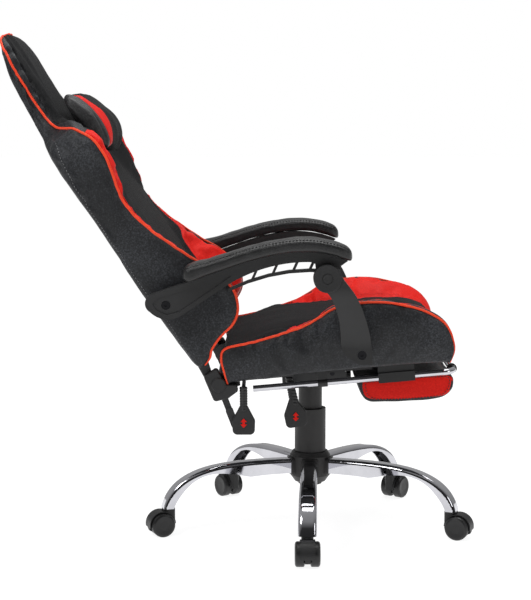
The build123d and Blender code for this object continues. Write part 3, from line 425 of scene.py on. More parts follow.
class Shell:
    """A stuffed shell between a middle line, a welted edge and a base line.

    Each key row holds: middle (u, v), edge (u, v), base (u, v), half width at the edge, half width
    at the base, lateral start of the bolster, of its colour, rim width and rim rise.
    """
    MID, COLOUR, RIM, SIDE, BASE = 26, 12, 8, 22, 14    # columns in each zone of one side
    FULL_CROWN = 120.0     # narrower rows than this swell less
    FULL_BULGE = 150.0

    def __init__(self, keys, rows, place, outward, side_bulge, crown):
        line = evenly(smooth_line(keys), rows, [0, 1, 2, 3, 6])
        self.line = line
        ahead = np.gradient(line[:, 2:4], axis=0)
        ahead /= np.maximum(np.linalg.norm(ahead, axis=1, keepdims=True), 1e-9)
        out2 = np.stack([-ahead[:, 1], ahead[:, 0]], axis=1) * outward
        sections = []
        for row, out in zip(line, out2):
            mid, edge, base = row[0:2], row[2:4], row[4:6]
            half, half_base, foot, seam, rim, rise = row[6:12]
            half = max(half, 0.5)
            rim = min(rim, 0.5 * half)
            inner = half - rim
            foot = min(foot, 0.85 * inner)
            seam = min(max(seam, 0.2 * half), half - 0.6)
            crest = edge + out * rise
            middle = np.linspace(0, seam, self.MID + 1)[:-1]
            step = np.linspace(0, 1, self.COLOUR + self.RIM + 1)[:-1]
            coloured = seam + (half - seam) * (1 - (1 - step) ** 1.5)
            across = np.concatenate([middle, coloured])
            w = ease((across - foot) / (inner - foot))[:, None]
            point = mid + w * (crest - mid)
            q = np.clip((across - inner) / rim, 0, 1)[:, None]
            point = np.where(q > 0, edge + (crest - edge) * np.sqrt(1 - q * q), point)
            swell = crown * np.cos(np.clip(across / max(foot, 1), 0, 1) * pi / 2)[:, None]
            point = point + out * swell * min(1, half / self.FULL_CROWN)
            r = np.linspace(0, 1, self.SIDE + 1)[:-1]
            side = edge + (base - edge) * r[:, None]
            side_y = half + (half_base - half) * r
            side_y += side_bulge * np.sin(pi * r ** 0.85) * min(1, half / self.FULL_BULGE)
            back = np.linspace(1, 0, self.BASE + 1)
            base_y = half_base * back
            base_p = np.repeat(base[None], self.BASE + 1, axis=0)
            u = np.concatenate([point, side, base_p])
            y = np.concatenate([across, side_y, base_y])
            sections.append(np.column_stack([u, y]))
        half_grid = np.array(sections)
        mirrored = half_grid[:, -2:0:-1] * (1, 1, -1)
        flat = np.concatenate([half_grid, mirrored], axis=1)
        self.edge_col = self.MID + self.COLOUR + self.RIM
        self.base_col = self.edge_col + self.SIDE
        self.grid = place(flat[..., 0], flat[..., 1], flat[..., 2])
        self.soften(self.base_col, 3, 4)

    def twin(self, col):
        """The column that mirrors col on the other side."""
        return (self.grid.shape[1] - col) % self.grid.shape[1]

    def sewn(self, *columns):
        """The columns given, and those of the flat underside, on both sides."""
        under = range(self.base_col, self.grid.shape[1] // 2 + 1)
        half = [*columns, *under]
        return set(half) | {self.twin(c) for c in half}

    def soften(self, col, reach, times):
        """Rounds the corner at one column and its twin."""
        cols = self.grid.shape[1]
        for _ in range(times):
            fresh = self.grid.copy()
            for middle in (col, self.twin(col)):
                for j in range(middle - reach, middle + reach + 1):
                    j %= cols
                    fresh[:, j] = (self.grid[:, (j - 1) % cols] + 2 * self.grid[:, j]
                                   + self.grid[:, (j + 1) % cols]) / 4
            self.grid = fresh

    def press(self, amount):
        """Moves every point along its normal by amount, in metres."""
        self.grid = self.grid + grid_normals(self.grid) * amount[..., None]

    def give_way(self, amount):
        """Draws the front face in by amount, in millimetres per row, where two cushions meet."""
        cols = self.grid.shape[1]
        near = np.minimum(np.arange(cols), cols - np.arange(cols))
        share = ease(np.clip((self.edge_col - near) / self.RIM, 0, 1))
        self.press(-MM * amount[:, None] * share[None])

    def slide(self, way, amount):
        """Moves whole rows along way, which is one millimetre long, by amount per row."""
        self.grid = self.grid + amount[:, None, None] * way

    def column_distance(self, col):
        """How many millimetres each point lies from one column, along its own row."""
        step = np.linalg.norm(np.diff(self.grid, axis=1), axis=2)
        far = np.concatenate([np.zeros((len(step), 1)), np.cumsum(step, axis=1)], axis=1)
        return (far - far[:, [col]]) * 1000

    def groove(self, col, deep, wide):
        """A sewn channel along one column and its twin, in millimetres."""
        amount = np.zeros(self.grid.shape[:2])
        for c in (col, self.twin(col)):
            amount -= deep * MM * np.exp(-(self.column_distance(c) / wide) ** 2)
        self.press(amount)

    def along(self, columns, side):
        """Points and normals at one fractional column per row; side is left or right."""
        count = self.grid.shape[1]
        rows = np.arange(len(self.grid))
        low = np.floor(columns).astype(int)
        share = (columns - low)[:, None]
        a, b = low, low + 1
        if side == "right":
            a, b = (count - a) % count, (count - b) % count
        n = grid_normals(self.grid)
        return (self.grid[rows, a] * (1 - share) + self.grid[rows, b] * share,
                n[rows, a] * (1 - share) + n[rows, b] * share)

    def wavy_groove(self, columns, deep, wide):
        """A sewn channel on both sides along a column that changes from row to row."""
        amount = np.zeros(self.grid.shape[:2])
        for side in ("left", "right"):
            line = self.along(columns, side)[0]
            far = np.linalg.norm(self.grid - line[:, None], axis=2) * 1000
            amount -= deep * MM * np.exp(-(far / wide) ** 2)
        self.press(amount)

    def uneven(self, depth, scale, seed):
        """Slight dents and swells, depth in millimetres and scale in metres."""
        self.press(depth * MM * wander(self.grid, scale, seed))

    def line_at(self, col, lift):
        """The points of one column, raised by lift in metres."""
        return self.grid[:, col] + grid_normals(self.grid)[:, col] * lift


PUFF_FRAMES = 20
PRESSURE = 3.0


def puffed(grid, held, step, cap):
    """The grid after a short cloth simulation under inner pressure, held along its seams.

    held marks the columns of the grid that are sewn down. Every step-th row and second column is
    simulated, and no point of a row moves further than that row's cap, in millimetres.
    """
    rows = np.unique(np.append(np.arange(0, len(grid), step), len(grid) - 1))
    cols = np.arange(0, grid.shape[1], 2)
    coarse = grid[rows][:, cols]
    tall, round_ = coarse.shape[:2]
    faces = [(i * round_ + j, i * round_ + (j + 1) % round_,
              (i + 1) * round_ + (j + 1) % round_, (i + 1) * round_ + j)
             for i in range(tall - 1) for j in range(round_)]
    ends = [tuple(range(round_)), tuple(range((tall - 1) * round_, tall * round_))]
    mesh = bpy.data.meshes.new("puffing")
    mesh.from_pydata([tuple(v) for v in coarse.reshape(-1, 3)], [], faces + ends)
    shape = bmesh.new()
    shape.from_mesh(mesh)
    bmesh.ops.recalc_face_normals(shape, faces=shape.faces)
    shape.to_mesh(mesh)
    shape.free()
    body = bpy.data.objects.new("puffing", mesh)
    bpy.context.scene.collection.objects.link(body)
    pins = body.vertex_groups.new(name="sewn")
    sewn = [i * round_ + j for i in range(tall) for j in range(round_)
            if i in (0, tall - 1) or cols[j] in held]
    pins.add(sewn, 1.0, "REPLACE")
    cloth = body.modifiers.new("cloth", "CLOTH")
    cloth.settings.quality = 5
    cloth.settings.mass = 0.3
    cloth.settings.tension_stiffness = 12.0
    cloth.settings.compression_stiffness = 6.0
    cloth.settings.shear_stiffness = 4.0
    cloth.settings.bending_stiffness = 0.4
    cloth.settings.shrink_min = -0.03
    cloth.settings.use_pressure = True
    cloth.settings.uniform_pressure_force = PRESSURE
    cloth.settings.vertex_group_mass = "sewn"
    cloth.settings.effector_weights.gravity = 0.0
    cloth.point_cache.frame_end = PUFF_FRAMES
    for frame_number in range(1, PUFF_FRAMES + 1):
        bpy.context.scene.frame_set(frame_number)
    view = body.evaluated_get(bpy.context.evaluated_depsgraph_get())
    flat = np.empty(tall * round_ * 3)
    view.data.vertices.foreach_get("co", flat)
    moved = flat.reshape(tall, round_, 3) - coarse
    far = np.linalg.norm(moved, axis=2, keepdims=True)
    moved *= np.minimum(1.0, cap[rows][:, None, None] * MM / np.maximum(far, 1e-9))
    bpy.data.objects.remove(body)
    bpy.context.scene.frame_set(1)
    wrapped = np.concatenate([moved, moved[:, :1]], axis=1)
    spots = np.append(cols, grid.shape[1])
    wide = np.stack([[np.interp(np.arange(grid.shape[1]), spots, row[:, k]) for row in wrapped]
                     for k in range(3)], axis=2)
    full = np.stack([[np.interp(np.arange(len(grid)), rows, wide[:, j, k])
                      for j in range(grid.shape[1])] for k in range(3)], axis=2)
    return grid + full.transpose(1, 0, 2)


SEAM = Shell.MID                           # the column where the middle panel is sewn on
RIM_COL = Shell.MID + Shell.COLOUR + 1     # the column where the outer rim begins

# ---------------------------------------------------------------- seat
SEAT_RED_LIMIT = 221.0     # the bolsters are red where their colour starts nearer the middle
seat_keys = [
    # middle s, n    edge s, n    base s, n   half  base  foot  colour rim rise
    (-168, 0, -171, 0, -168, 0, 232, 230, 150, 224, 14, 1),
    (-175, 20, -177, 20, -163, 0, 238, 231, 150, 224, 14, 1),
    (-178, 43, -180, 43, -156, 0, 239, 232, 150, 224, 14, 2),
    (-176, 58, -178, 60, -149, 0, 239, 232, 150, 224, 14, 2),
    (-170, 68, -172, 69, -142, 0, 239, 232, 150, 225, 14, 3),
    (-157, 74, -158, 74, -132, 0, 239, 232, 150, 226, 14, 3),
    (-135, 79, -133, 77, -114, 0, 238, 232, 150, 227, 14, 3),
    (-100, 85, -98, 82, -85, 0, 238, 233, 210, 228, 14, 3),
    (-59, 89, -59, 88, -52, 0, 238, 233, 205, 227, 14, 3),
    (-19, 91, -19, 96, -18, 0, 238, 233, 196, 198, 14, 3),
    (12, 92, 12, 109, 10, 0, 238, 233, 187, 190, 14, 3),
    (33, 93, 33, 121, 31, 0, 238, 233, 180, 183, 14, 3),
    (53, 94, 53, 129, 50, 0, 238, 233, 174, 176, 14, 3),
    (83, 94, 83, 134, 78, 0, 238, 233, 165, 168, 14, 2),
    (107, 94, 107, 135, 103, 0, 238, 233, 160, 163, 14, 2),
    (133, 94, 133, 134, 129, 0, 238, 233, 152, 160, 14, 2),
    (162, 93, 162, 130, 156, 0, 238, 233, 152, 160, 14, 2),
    (191, 91, 191, 122, 183, 0, 238, 233, 152, 160, 14, 2),
    (218, 87, 220, 112, 205, 0, 238, 233, 152, 160, 14, 2),
    (240, 80, 245, 99, 222, 0, 238, 233, 152, 160, 14, 2),
    (256, 70, 264, 83, 236, 0, 237, 232, 152, 160, 14, 2),
    (267, 56, 276, 64, 247, 0, 236, 232, 152, 160, 14, 1),
    (273, 38, 281, 41, 256, 0, 235, 231, 152, 160, 14, 1),
    (273, 20, 280, 21, 263, 0, 233, 230, 152, 160, 14, 1),
    (266, 1, 271, 1, 268, 0, 230, 229, 152, 160, 14, 1),
]
seat = Shell(seat_keys, rows=190, place=seat_at, outward=1, side_bulge=7.0, crown=2.0)
seat_along = seat.line[:, 2]
seat_sewn = seat.sewn(SEAM, seat.edge_col, seat.base_col)
seat.grid = puffed(seat.grid, seat_sewn, 3, np.interp(seat_along, [-140, -60], [0.0, 6.0]))
# the rear gives way, so that the back can stand upright
seat.give_way(np.interp(seat_along, [-140, -90], [2.2, 0.0]))
seat_down = seat_at(0, -1, 0) - seat_at(0, 0, 0)
seat.slide(seat_down, np.interp(seat_along, [-110, -30], [4.2, 0.0]))
seat.groove(seat.edge_col, 1.2, 3.0)
seat.groove(SEAM, 1.8, 3.5)
seat.uneven(0.7, 0.16, 21)
seat.uneven(0.25, 0.045, 22)


def seat_kind(i, j):
    """Black middle, red bolster tops, black rim, sides and rear."""
    cols = seat.grid.shape[1]
    near = min(j, cols - 1 - j)
    if near < SEAM:
        return 0
    if near < RIM_COL:
        return 1 if seat.line[i, 9] < SEAT_RED_LIMIT else 2
    return 2


cover_mats = [black_cloth, red_leather, black_leather]
seat_cover = loop_grid("seat_cover", seat.grid, cover_mats, seat_kind)
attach(seat_cover, "seat")
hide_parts("seat_cushion", "seat_bolsters")


def both(shell, col):
    """A column with its twin, each with the name of its side."""
    return (("right", shell.twin(col)), ("left", col))


for side_name, col in both(seat, seat.edge_col):
    welt = tube(f"seat_piping_{side_name}", seat.line_at(col, WELT_LIFT), WELT_RADIUS, red_piping)
    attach(welt, "seat")
for side_name, col in both(seat, SEAM):
    lay = seat.line[:, 9] < SEAT_RED_LIMIT
    out = grid_normals(seat.grid)
    near = 2 if side_name == "left" else -2
    row = stitches(f"seat_seam_thread_{side_name}", seat.grid[lay, col + near],
                   out[lay, col + near], thread_red)
    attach(row, "seat")

# ---------------------------------------------------------------- back
HEAD_BLACK = 556.0     # above this the wings are black
WAIST_BLACK = 400.0    # below this the wings' outer rim is black
LOW_BLACK = 58.0       # below this all but the middle is black
SIDE_THREAD_TOP = 582.0
back_keys = [
    # middle f, b    edge f, b    base f, b    half  base  foot  colour rim rise
    (-11, 44, 2, 44, -12, 43, 236, 234, 150, 225, 16, 0),
    (2, 49, 18, 51, -15, 52, 246, 240, 150, 225, 16, 1),
    (14, 58, 31, 62, -17, 62, 248, 242, 150, 222, 16, 1),
    (26, 68, 51, 70, -18, 76, 249, 243, 150, 200, 16, 1),
    (38, 78, 71, 75, -19, 90, 250, 243, 150, 180, 16, 1),
    (49, 90, 93, 79, -20, 104, 250, 243, 150, 170, 16, 1),
    (57, 104, 114, 91, -20, 118, 250, 243, 150, 166, 16, 1),
    (63, 119, 127, 109, -20, 132, 250, 243, 150, 164, 16, 1),
    (67, 136, 134, 130, -20, 146, 250, 243, 150, 164, 16, 1),
    (70, 155, 135, 149, -20, 160, 250, 243, 150, 164, 16, 1),
    (71, 178, 130, 175, -20, 180, 250, 243, 150, 164, 16, 1),
    (72, 206, 121, 205, -20, 207, 250, 243, 150, 166, 16, 1),
    (72, 236, 106, 235, -20, 237, 250, 243, 150, 169, 16, 1),
    (73, 267, 93, 267, -19, 268, 250, 243, 150, 175, 16, 1),
    (73, 296, 82, 296, -18, 297, 250, 243, 150, 216, 16, 1),
    (73, 325, 72, 324, -16, 325, 250, 243, 150, 224, 16, 2),
    (73, 354, 64, 354, -16, 354, 250, 243, 150, 228, 16, 4),
    (72, 382, 60, 380, -15, 383, 250, 243, 150, 233, 16, 5),
    (71, 409, 59, 409, -15, 410, 250, 243, 150, 240, 16, 6),
    (69, 435, 65, 436, -15, 436, 250, 243, 150, 228, 17, 8),
    (67, 461, 73, 463, -15, 461, 250, 243, 150, 220, 18, 9),
    (65, 488, 80, 489, -15, 488, 250, 242, 150, 216, 18, 10),
    (62, 514, 82, 517, -15, 512, 250, 241, 150, 216, 18, 11),
    (60, 538, 80, 538, -14, 534, 248, 238, 146, 217, 18, 11),
    (58, 560, 72, 557, -14, 553, 240, 230, 140, 214, 18, 11),
    (55, 579, 58, 578, -13, 570, 222, 214, 128, 182, 20, 12),
    (53, 594, 41, 590, -13, 584, 194, 190, 112, 184, 24, 17),
    (51, 607, 28, 601, -12, 597, 168, 166, 102, 165, 28, 24),
    (50, 620, 21, 615, -12, 611, 149, 149, 96, 148, 30, 28),
    (50, 637, 18, 634, -11, 629, 139, 139, 91, 138, 32, 31),
    (51, 660, 17, 656, -9, 652, 136, 136, 88, 134, 34, 33),
    (52, 684, 17, 681, -6, 676, 135, 135, 86, 132, 34, 33),
    (54, 706, 19, 705, -3, 700, 134, 134, 86, 131, 34, 32),
    (57, 742, 21, 743, 4, 738, 133, 131, 84, 128, 34, 30),
    (59, 772, 25, 775, 13, 768, 130, 127, 80, 124, 32, 27),
    (58, 796, 27, 798, 20, 791, 121, 117, 72, 114, 30, 23),
    (54, 812, 30, 813, 26, 807, 104, 100, 62, 98, 26, 16),
    (48, 820, 34, 821, 31, 816, 80, 76, 50, 76, 22, 9),
    (43, 824, 38, 824, 36, 821, 45, 42, 28, 43, 14, 4),
    (41, 826, 41, 826, 39, 824, 12, 11, 7, 11.4, 5, 1),
    (41, 826, 41, 826, 40, 825, 4, 3, 2, 3.8, 2, 1),
]
back = Shell(back_keys, rows=300, place=back_at, outward=-1, side_bulge=5.0, crown=2.0)
back_along = back.line[:, 3]
back_sewn = back.sewn(SEAM, back.edge_col, back.base_col)
back.grid = puffed(back.grid, back_sewn, 4, np.interp(back_along, [90, 180], [0.0, 5.0]))
# the foot gives way, so that it clears the seat when the back stands upright
back.give_way(np.interp(back_along, [100, 150], [2.2, 0.0]))
back_up = back_at(0, 1, 0) - back_at(0, 0, 0)
back.slide(back_up, np.interp(back_along, [110, 190], [5.4, 0.0]))
back.groove(back.edge_col, 1.2, 3.0)
back.groove(SEAM, 1.8, 3.5)
stitch_share = np.interp(back_along, [300, 420, 505, 550, 580], [0.94, 0.93, 0.88, 0.76, 0.6])
side_seam = back.edge_col + Shell.SIDE * stitch_share
back.wavy_groove(side_seam, 0.9, 2.5)
back.uneven(0.8, 0.2, 31)
back.uneven(0.25, 0.05, 32)


def back_kind(i, j):
    """Black middle, red wings, black head, foot, rim below the waist and sides."""
    cols = back.grid.shape[1]
    near = min(j, cols - 1 - j)
    up = back_along[i]
    if near < SEAM:
        return 0
    if near >= back.edge_col or up > HEAD_BLACK or up < LOW_BLACK:
        return 2
    return 1 if up > WAIST_BLACK or near < RIM_COL else 2


back_cover = loop_grid("back_cover", back.grid, cover_mats, back_kind)
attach(back_cover, "back")
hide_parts("back_cushion", "back_wings")

for side_name, col in both(back, back.edge_col):
    foot_to_crown = back.line_at(col, WELT_LIFT)[:-1]
    welt = tube(f"back_piping_{side_name}", foot_to_crown, WELT_RADIUS, red_piping)
    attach(welt, "back")
for side_name in ("right", "left"):
    spots, out = back.along(side_seam, side_name)
    lay = back_along < SIDE_THREAD_TOP
    row = stitches(f"back_side_thread_{side_name}", spots[lay], out[lay], thread_pale,
                   length=0.003, gap=0.004, radius=0.00034)
    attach(row, "back")


# ---------------------------------------------------------------- neck pillow
def ring_resample(points, count):
    """Evenly spaced points round a closed ring."""
    closed = np.vstack([points, points[:1]])
    far = np.concatenate([[0], np.cumsum(np.linalg.norm(np.diff(closed, axis=0), axis=1))])
    want = np.linspace(0, far[-1], count, endpoint=False)
    return np.stack([np.interp(want, far, c) for c in closed.T], axis=1)


def smooth_ring(points, count):
    """A smooth closed ring of count points through the points given."""
    points = np.asarray(points, float)
    wrapped = np.vstack([points[-2:], points, points[:2]])
    dense = smooth_line(wrapped)[PER_KEY * 2:PER_KEY * (len(points) + 2)]
    return ring_resample(dense, count)


PILLOW_HALF = 150.0
PILLOW_SEAM = 120.0        # between the red crescent and the dark end
PILLOW_END_SEAM = 139.0
PILLOW_SIDES = 96
CRESCENT_LOW = 504.0
CRESCENT_LONG = 138.0
CRESCENT_WIDE = 36.0
CRESCENT_FRONT = 74.0      # the crescents are in front of this
pillow_end = smooth_ring([(66, 634), (73, 646), (82, 644), (91, 628), (98, 603), (101, 575),
                          (99, 548), (93, 524), (84, 512), (76, 522), (70, 548), (66, 585)],
                         PILLOW_SIDES)
pillow_mid = smooth_ring([(65, 632), (74, 645), (86, 645), (97, 634), (108, 606), (116, 577),
                          (116, 552), (109, 532), (97, 515), (82, 502), (71, 518), (65, 575)],
                         PILLOW_SIDES)
pillow_rows = []
for t in np.linspace(-1, 1, 121):
    y = PILLOW_HALF * np.sign(t) * (1 - (1 - abs(t)) ** 1.35)
    share = abs(y) / PILLOW_HALF
    w = ease((share - 0.25) / 0.7)
    ring = pillow_mid * (1 - w) + pillow_end * w
    centre = ring.mean(axis=0)
    close = np.sqrt(max(0.0, 1 - max(0.0, (share - 0.86) / 0.14) ** 2))
    ring = centre + (ring - centre) * (0.30 + 0.70 * close if share > 0.86 else 1.0)
    pillow_rows.append(np.column_stack([ring, np.full(PILLOW_SIDES, y)]))
pillow_flat = np.array(pillow_rows)
pillow_grid = back_at(pillow_flat[..., 0], pillow_flat[..., 1], pillow_flat[..., 2])
pillow_grid = puffed(pillow_grid, set(), 2, np.full(len(pillow_grid), 3.5))
pillow_n = grid_normals(pillow_grid)
wrinkle = 0.0007 * wander(pillow_grid, 0.06, 41) + 0.0012 * wander(pillow_grid, 0.16, 42)
pillow_y = abs(pillow_flat[..., 2])
for seam_y in (PILLOW_SEAM, PILLOW_END_SEAM):
    wrinkle = wrinkle - 0.0018 * np.exp(-((pillow_y - seam_y) / 3.5) ** 2)
pillow_grid = pillow_grid + pillow_n * wrinkle[..., None]


def pillow_kind(i, j):
    """Black front, a red crescent each side of it and dark ends."""
    f, b, y = pillow_flat[i, j]
    if abs(y) > PILLOW_SEAM:
        return 2
    share = np.clip((b - CRESCENT_LOW) / CRESCENT_LONG, 0, 1)
    wide = CRESCENT_WIDE * np.sin(pi * share) ** 0.6
    return 1 if abs(y) > PILLOW_SEAM - wide and f > CRESCENT_FRONT else 0


pillow = loop_grid("neck_pillow_cover", pillow_grid, [black_cloth, red_leather, dark_leather],
                   pillow_kind)
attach(pillow, "back")
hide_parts("neck_pillow")

# ---------------------------------------------------------------- armrest pads
pad_keys = [
    # x, z of the top, z of the underside, half width
    (-255, 575, 567, 14),
    (-254, 581, 562, 22),
    (-249, 588, 558, 28),
    (-238, 593, 557, 31),
    (-203, 602, 571, 32),
    (-149, 619, 590, 33),
    (-95, 634, 605, 33),
    (-41, 642, 614, 33),
    (0, 642, 614, 33),
    (36, 636, 607, 32),
    (58, 628, 600, 29),
    (68, 618, 598, 21),
    (71, 610, 601, 9),
]
pad_line = evenly(smooth_line(pad_keys), 130, [0, 1])
PAD_Y = 291.0
PAD_SIDES = 72
PAD_SEAMS = (38.0, 142.0)           # degrees round the pad
PAD_THREADS = (5, 9, 27, 31)        # the columns beside those seams
for side_name, sign in (("right", -1), ("left", 1)):
    rows = []
    for x, top, low, half in pad_line:
        turn = np.arange(PAD_SIDES) * 2 * pi / PAD_SIDES
        c, s = np.cos(turn), np.sin(turn)
        across = half * np.sign(c) * abs(c) ** 0.62
        mid, tall = (top + low) / 2, (top - low) / 2
        rise = mid + tall * np.sign(s) * abs(s) ** np.where(s > 0, 0.80, 0.42)
        rows.append(np.column_stack([np.full(PAD_SIDES, x), rise, sign * (PAD_Y + across)]))
    flat = np.array(rows)
    grid = level_at(flat[..., 0], flat[..., 1], flat[..., 2])
    n = grid_normals(grid)
    turn_at = (np.arange(PAD_SIDES) * 360 / PAD_SIDES)[None, :]
    dent = np.zeros(grid.shape[:2])
    for angle in PAD_SEAMS:
        dent -= 0.0013 * np.exp(-((turn_at - angle) / 5.0) ** 2)
    dent = dent + 0.0004 * wander(grid, 0.05, 51) + 0.0005 * wander(grid, 0.12, 52)
    grid = grid + n * dent[..., None]
    pad = loop_grid(f"armrest_cover_{side_name}", grid, [pad_leather], lambda i, j: 0)
    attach(pad, f"arm_{side_name}")
    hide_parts(f"arm_pad_{side_name}")
    n = grid_normals(grid)
    for k, col in enumerate(PAD_THREADS):
        row = stitches(f"armrest_thread_{side_name}_{k + 1}", grid[5:-5, col], n[5:-5, col],
                       thread_pad, length=0.0042, gap=0.0024, radius=0.0006)
        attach(row, f"arm_{side_name}")

# ---------------------------------------------------------------- footrest pad
FOOT_HALF = 143.0
FOOT_SIDES = 120
FOOT_ROUND = 8.0           # how far in from each end the pad is rounded
FOOT_INSET = 5.0
FOOT_REACH = np.array([97.0, 24.0])
FOOT_TOP = -42.0           # above this the pad lies on the board, and stays flat
foot_ring = smooth_ring([(88, -37), (90, -50), (96, -68), (107, -80), (130, -85), (200, -88),
                         (250, -87), (270, -81), (282, -69), (286, -55), (285, -45), (277, -41),
                         (262, -39), (225, -38), (180, -38), (130, -38), (98, -37)], FOOT_SIDES)
foot_rows = []
for t in np.linspace(-1, 1, 91):
    y = FOOT_HALF * np.sign(t) * (1 - (1 - abs(t)) ** 1.4)
    over = max(0.0, abs(y) - FOOT_HALF + FOOT_ROUND) / FOOT_ROUND
    inset = FOOT_INSET * (1 - np.sqrt(1 - over * over))
    centre = np.array([189.0, -64.0])
    size = foot_ring - centre
    shrink = 1 - inset / FOOT_REACH
    foot_rows.append(np.column_stack([centre + size * shrink, np.full(FOOT_SIDES, y)]))
foot_flat = np.array(foot_rows)
foot_grid = seat_at(foot_flat[..., 0], foot_flat[..., 1], foot_flat[..., 2])
foot_n = grid_normals(foot_grid)
top_side = foot_flat[..., 1] > FOOT_TOP
amount = 0.0006 * wander(foot_grid, 0.09, 61) * ~top_side
foot_grid = foot_grid + foot_n * amount[..., None]
foot_cover = loop_grid("footrest_cover", foot_grid, [black_leather], lambda i, j: 0)
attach(foot_cover, "foot_pad")
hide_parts("footrest_pad")
for side_name, sign in (("right", -1), ("left", 1)):
    face_ring = smooth_ring([(100, -40), (99, -54), (102, -67), (112, -75), (135, -79), (180, -82),
                             (235, -83), (265, -80), (278, -70), (283, -56), (283, -46), (276, -42),
                             (256, -40), (225, -39), (180, -39), (130, -39), (108, -39)],
                            FOOT_SIDES)
    centre = np.array([189.0, -63.0])
    rows = []
    for t in np.linspace(0, 1, 22):
        ring = centre + (face_ring - centre) * (1 - t)
        y = FOOT_HALF - 0.8 + 2.6 * np.sqrt(1 - (1 - t) ** 4) + 0.6 * (1 - (1 - t) ** 2)
        rows.append(np.column_stack([ring, np.full(FOOT_SIDES, sign * y)]))
    sunk = np.full(FOOT_SIDES, sign * (FOOT_HALF - 4))
    rows.insert(0, np.column_stack([face_ring, sunk]))
    flat = np.array(rows)
    grid = seat_at(flat[..., 0], flat[..., 1], flat[..., 2])
    end = loop_grid(f"footrest_end_{side_name}", grid, [red_leather], lambda i, j: 0)
    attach(end, "foot_pad")
    thread_ring = centre + (face_ring - centre) * 0.93
    path = seat_at(thread_ring[:, 0], thread_ring[:, 1],
                   np.full(FOOT_SIDES, sign * (FOOT_HALF + 1.6)))
    row = stitches(f"footrest_thread_{side_name}", np.vstack([path, path[:1]]),
                   np.repeat([[0, sign, 0]], FOOT_SIDES + 1, axis=0), thread_dark,
                   radius=0.0005)
    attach(row, "foot_pad")

# ---------------------------------------------------------------- lever sleeves and marks
SLEEVE_SIDES = 28
SLEEVE_RADIUS = 0.0068
SLEEVE_RIB = 0.0012
SLEEVE_RIBS = 9
MARK_SIZE = 0.8
# the x of each neck's upper end
neck_top = {"height_paddle": swivel[0] - 0.0483, "tilt_paddle": swivel[0] - 0.1396}


def lever_sleeve(name, body, paddle):
    """A ribbed sleeve over a lever's neck, from its paddle up to the rod, and a plain arrow."""
    low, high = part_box(paddle)
    middle = (low[0] + high[0]) / 2
    y = (low[1] + high[1]) / 2
    top = np.array([neck_top[paddle], y, high[2] + 0.009])
    foot = np.array([middle, y, low[2] + 0.048])
    share = np.linspace(0, 1, 150)
    line = foot + share[:, None] * (top - foot)
    swell = SLEEVE_RADIUS + SLEEVE_RIB * np.sqrt(np.abs(np.sin(share * SLEEVE_RIBS * pi)))
    rings = []
    for point, radius in zip(line, swell):
        turn = np.arange(SLEEVE_SIDES) * 2 * pi / SLEEVE_SIDES
        rings.append(np.stack([point[0] + radius * np.cos(turn), point[1] + radius * np.sin(turn),
                               np.full(SLEEVE_SIDES, point[2])], axis=1))
    sleeve = loop_grid(f"{name}_sleeve", np.array(rings), [plastic_wheel], lambda i, j: 0)
    arrow = [(0, 12), (8, 3), (3, 3), (3, -3), (8, -3),
             (0, -12), (-8, -3), (-3, -3), (-3, 3), (-8, 3)]
    verts = []
    for depth in (0.0002, -0.0007):
        verts += [(middle + u * MM * MARK_SIZE, low[1] + depth,
                   low[2] + 0.024 + v * MM * MARK_SIZE) for u, v in arrow]
    count = len(arrow)
    faces = [tuple(range(count)), tuple(range(2 * count - 1, count - 1, -1))]
    faces += [(k, (k + 1) % count, count + (k + 1) % count, count + k) for k in range(count)]
    mark = new_object(f"{name}_mark", verts, faces, [red_leather], smooth=False)
    for piece in (sleeve, mark):
        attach(piece, body)


lever_sleeve("height_lever", "height_handle", "height_paddle")
lever_sleeve("tilt_lever", "tilt_handle", "tilt_paddle")

# ---------------------------------------------------------------- pillow straps
STRAP_IN, STRAP_OUT = 91, 119    # the strap's two edges, from the middle
for side_name, sign in (("right", -1), ("left", 1)):
    line = smooth_line([(60, 562), (62, 566), (66, 569), (71, 571), (75, 572)], 8)
    rows = []
    for f, b in line:
        rows.append([(f, b + 1.0, sign * STRAP_IN), (f, b + 1.0, sign * STRAP_OUT),
                     (f, b - 1.0, sign * STRAP_OUT), (f, b - 1.0, sign * STRAP_IN)])
    flat = np.array(rows)
    grid = back_at(flat[..., 0], flat[..., 1], flat[..., 2])
    strap = loop_grid(f"pillow_strap_{side_name}", grid, [web_cloth], lambda i, j: 0)
    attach(strap, "back")
    if sign < 0:
        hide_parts("pillow_straps")

# ---------------------------------------------------------------- floor, light, camera
def studio_floor():
    """A plain pale floor, a little bright in itself, so that shadows stay soft."""
    reach = 30.0
    verts = [(-reach, -reach, 0), (reach, -reach, 0), (reach, reach, 0), (-reach, reach, 0)]
    mat, tree, shader, place = principled("floor", (0.3, 0.3, 0.3), 0.9, Specular_IOR_Level=0.1)
    shader.inputs["Emission Color"].default_value = (1, 1, 1, 1)
    shader.inputs["Emission Strength"].default_value = 0.9
    tone = noise(tree, place, 3, 2)
    tree.links.new(ramp(tree, tone, [(0.3, grey(0.29)), (0.7, grey(0.31))]),
                   shader.inputs["Base Color"])
    new_object("floor", verts, [(0, 1, 2, 3)], [mat])


def area_light(name, at, aim, size, power):
    """A square lamp at one place, aimed at another."""
    light = bpy.data.lights.new(name, "AREA")
    light.shape = "RECTANGLE"
    light.size = size
    light.size_y = size
    light.energy = power
    obj = bpy.data.objects.new(name, light)
    bpy.context.scene.collection.objects.link(obj)
    obj.location = at
    obj.rotation_euler = (Vector(aim) - Vector(at)).to_track_quat("-Z", "Y").to_euler()


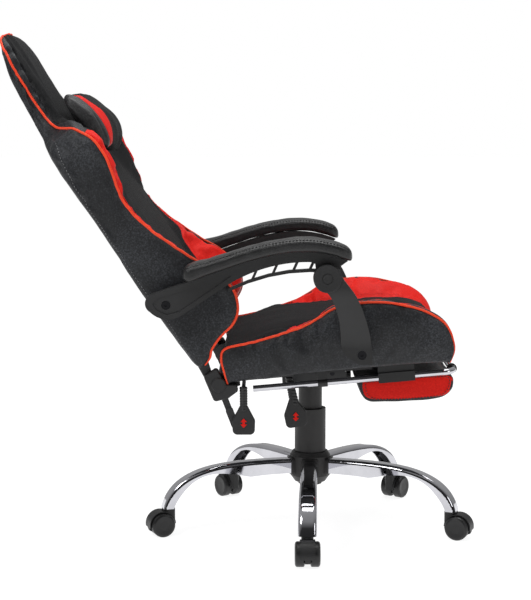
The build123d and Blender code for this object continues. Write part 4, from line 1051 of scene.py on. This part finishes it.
def studio_world():
    """A room that is bright above and behind, and dark on the near side."""
    world = bpy.data.worlds.new("studio")
    bpy.context.scene.world = world
    world.use_nodes = True
    tree = world.node_tree
    background = tree.nodes["Background"]
    background.inputs["Strength"].default_value = 0.42
    way = tree.nodes.new("ShaderNodeTexCoord").outputs["Generated"]
    facing = node(tree, "VectorMath", operation="DOT_PRODUCT")
    tree.links.new(way, facing.inputs[0])
    facing.inputs[1].default_value = (-0.15, 0.55, 0.80)
    share = math_node(tree, "MULTIPLY", math_node(tree, "ADD", facing.outputs["Value"], 1.0), 0.5)
    tree.links.new(ramp(tree, share, [(0.2, grey(0.03)), (0.48, grey(0.10)), (0.62, grey(0.7)),
                                      (0.85, grey(1.0))]), background.inputs["Color"])
    plain = tree.nodes.new("ShaderNodeBackground")
    plain.inputs["Color"].default_value = (1, 1, 1, 1)
    plain.inputs["Strength"].default_value = 1.0
    seen = tree.nodes.new("ShaderNodeLightPath").outputs["Is Camera Ray"]
    mix = tree.nodes.new("ShaderNodeMixShader")
    tree.links.new(seen, mix.inputs["Fac"])
    tree.links.new(background.outputs["Background"], mix.inputs[1])
    tree.links.new(plain.outputs["Background"], mix.inputs[2])
    tree.links.new(mix.outputs["Shader"], tree.nodes["World Output"].inputs["Surface"])


studio_floor()
studio_world()
area_light("key", (-1.9, -2.4, 3.2), (0, 0, 0.5), 1.4, 55)
area_light("top", (0.3, 0.3, 3.2), (0, 0, 0.3), 2.2, 60)
area_light("fill", (2.6, -1.8, 1.2), (0, 0, 0.5), 1.0, 8)

CAMERA_FROM_SWIVEL = (-0.0957, -3.392)
CAMERA_HEIGHT = 0.877
CAMERA_DOWN = 6.56
camera_data = bpy.data.cameras.new("camera")
camera_data.sensor_width = 36.0
camera_data.lens = 96.5
camera = bpy.data.objects.new("camera", camera_data)
bpy.context.scene.collection.objects.link(camera)
camera.location = (swivel[0] + CAMERA_FROM_SWIVEL[0], swivel[1] + CAMERA_FROM_SWIVEL[1],
                   CAMERA_HEIGHT)
camera.rotation_euler = (radians(90 - CAMERA_DOWN), 0, 0)
bpy.context.scene.camera = camera
bpy.context.scene.view_settings.view_transform = "Standard"
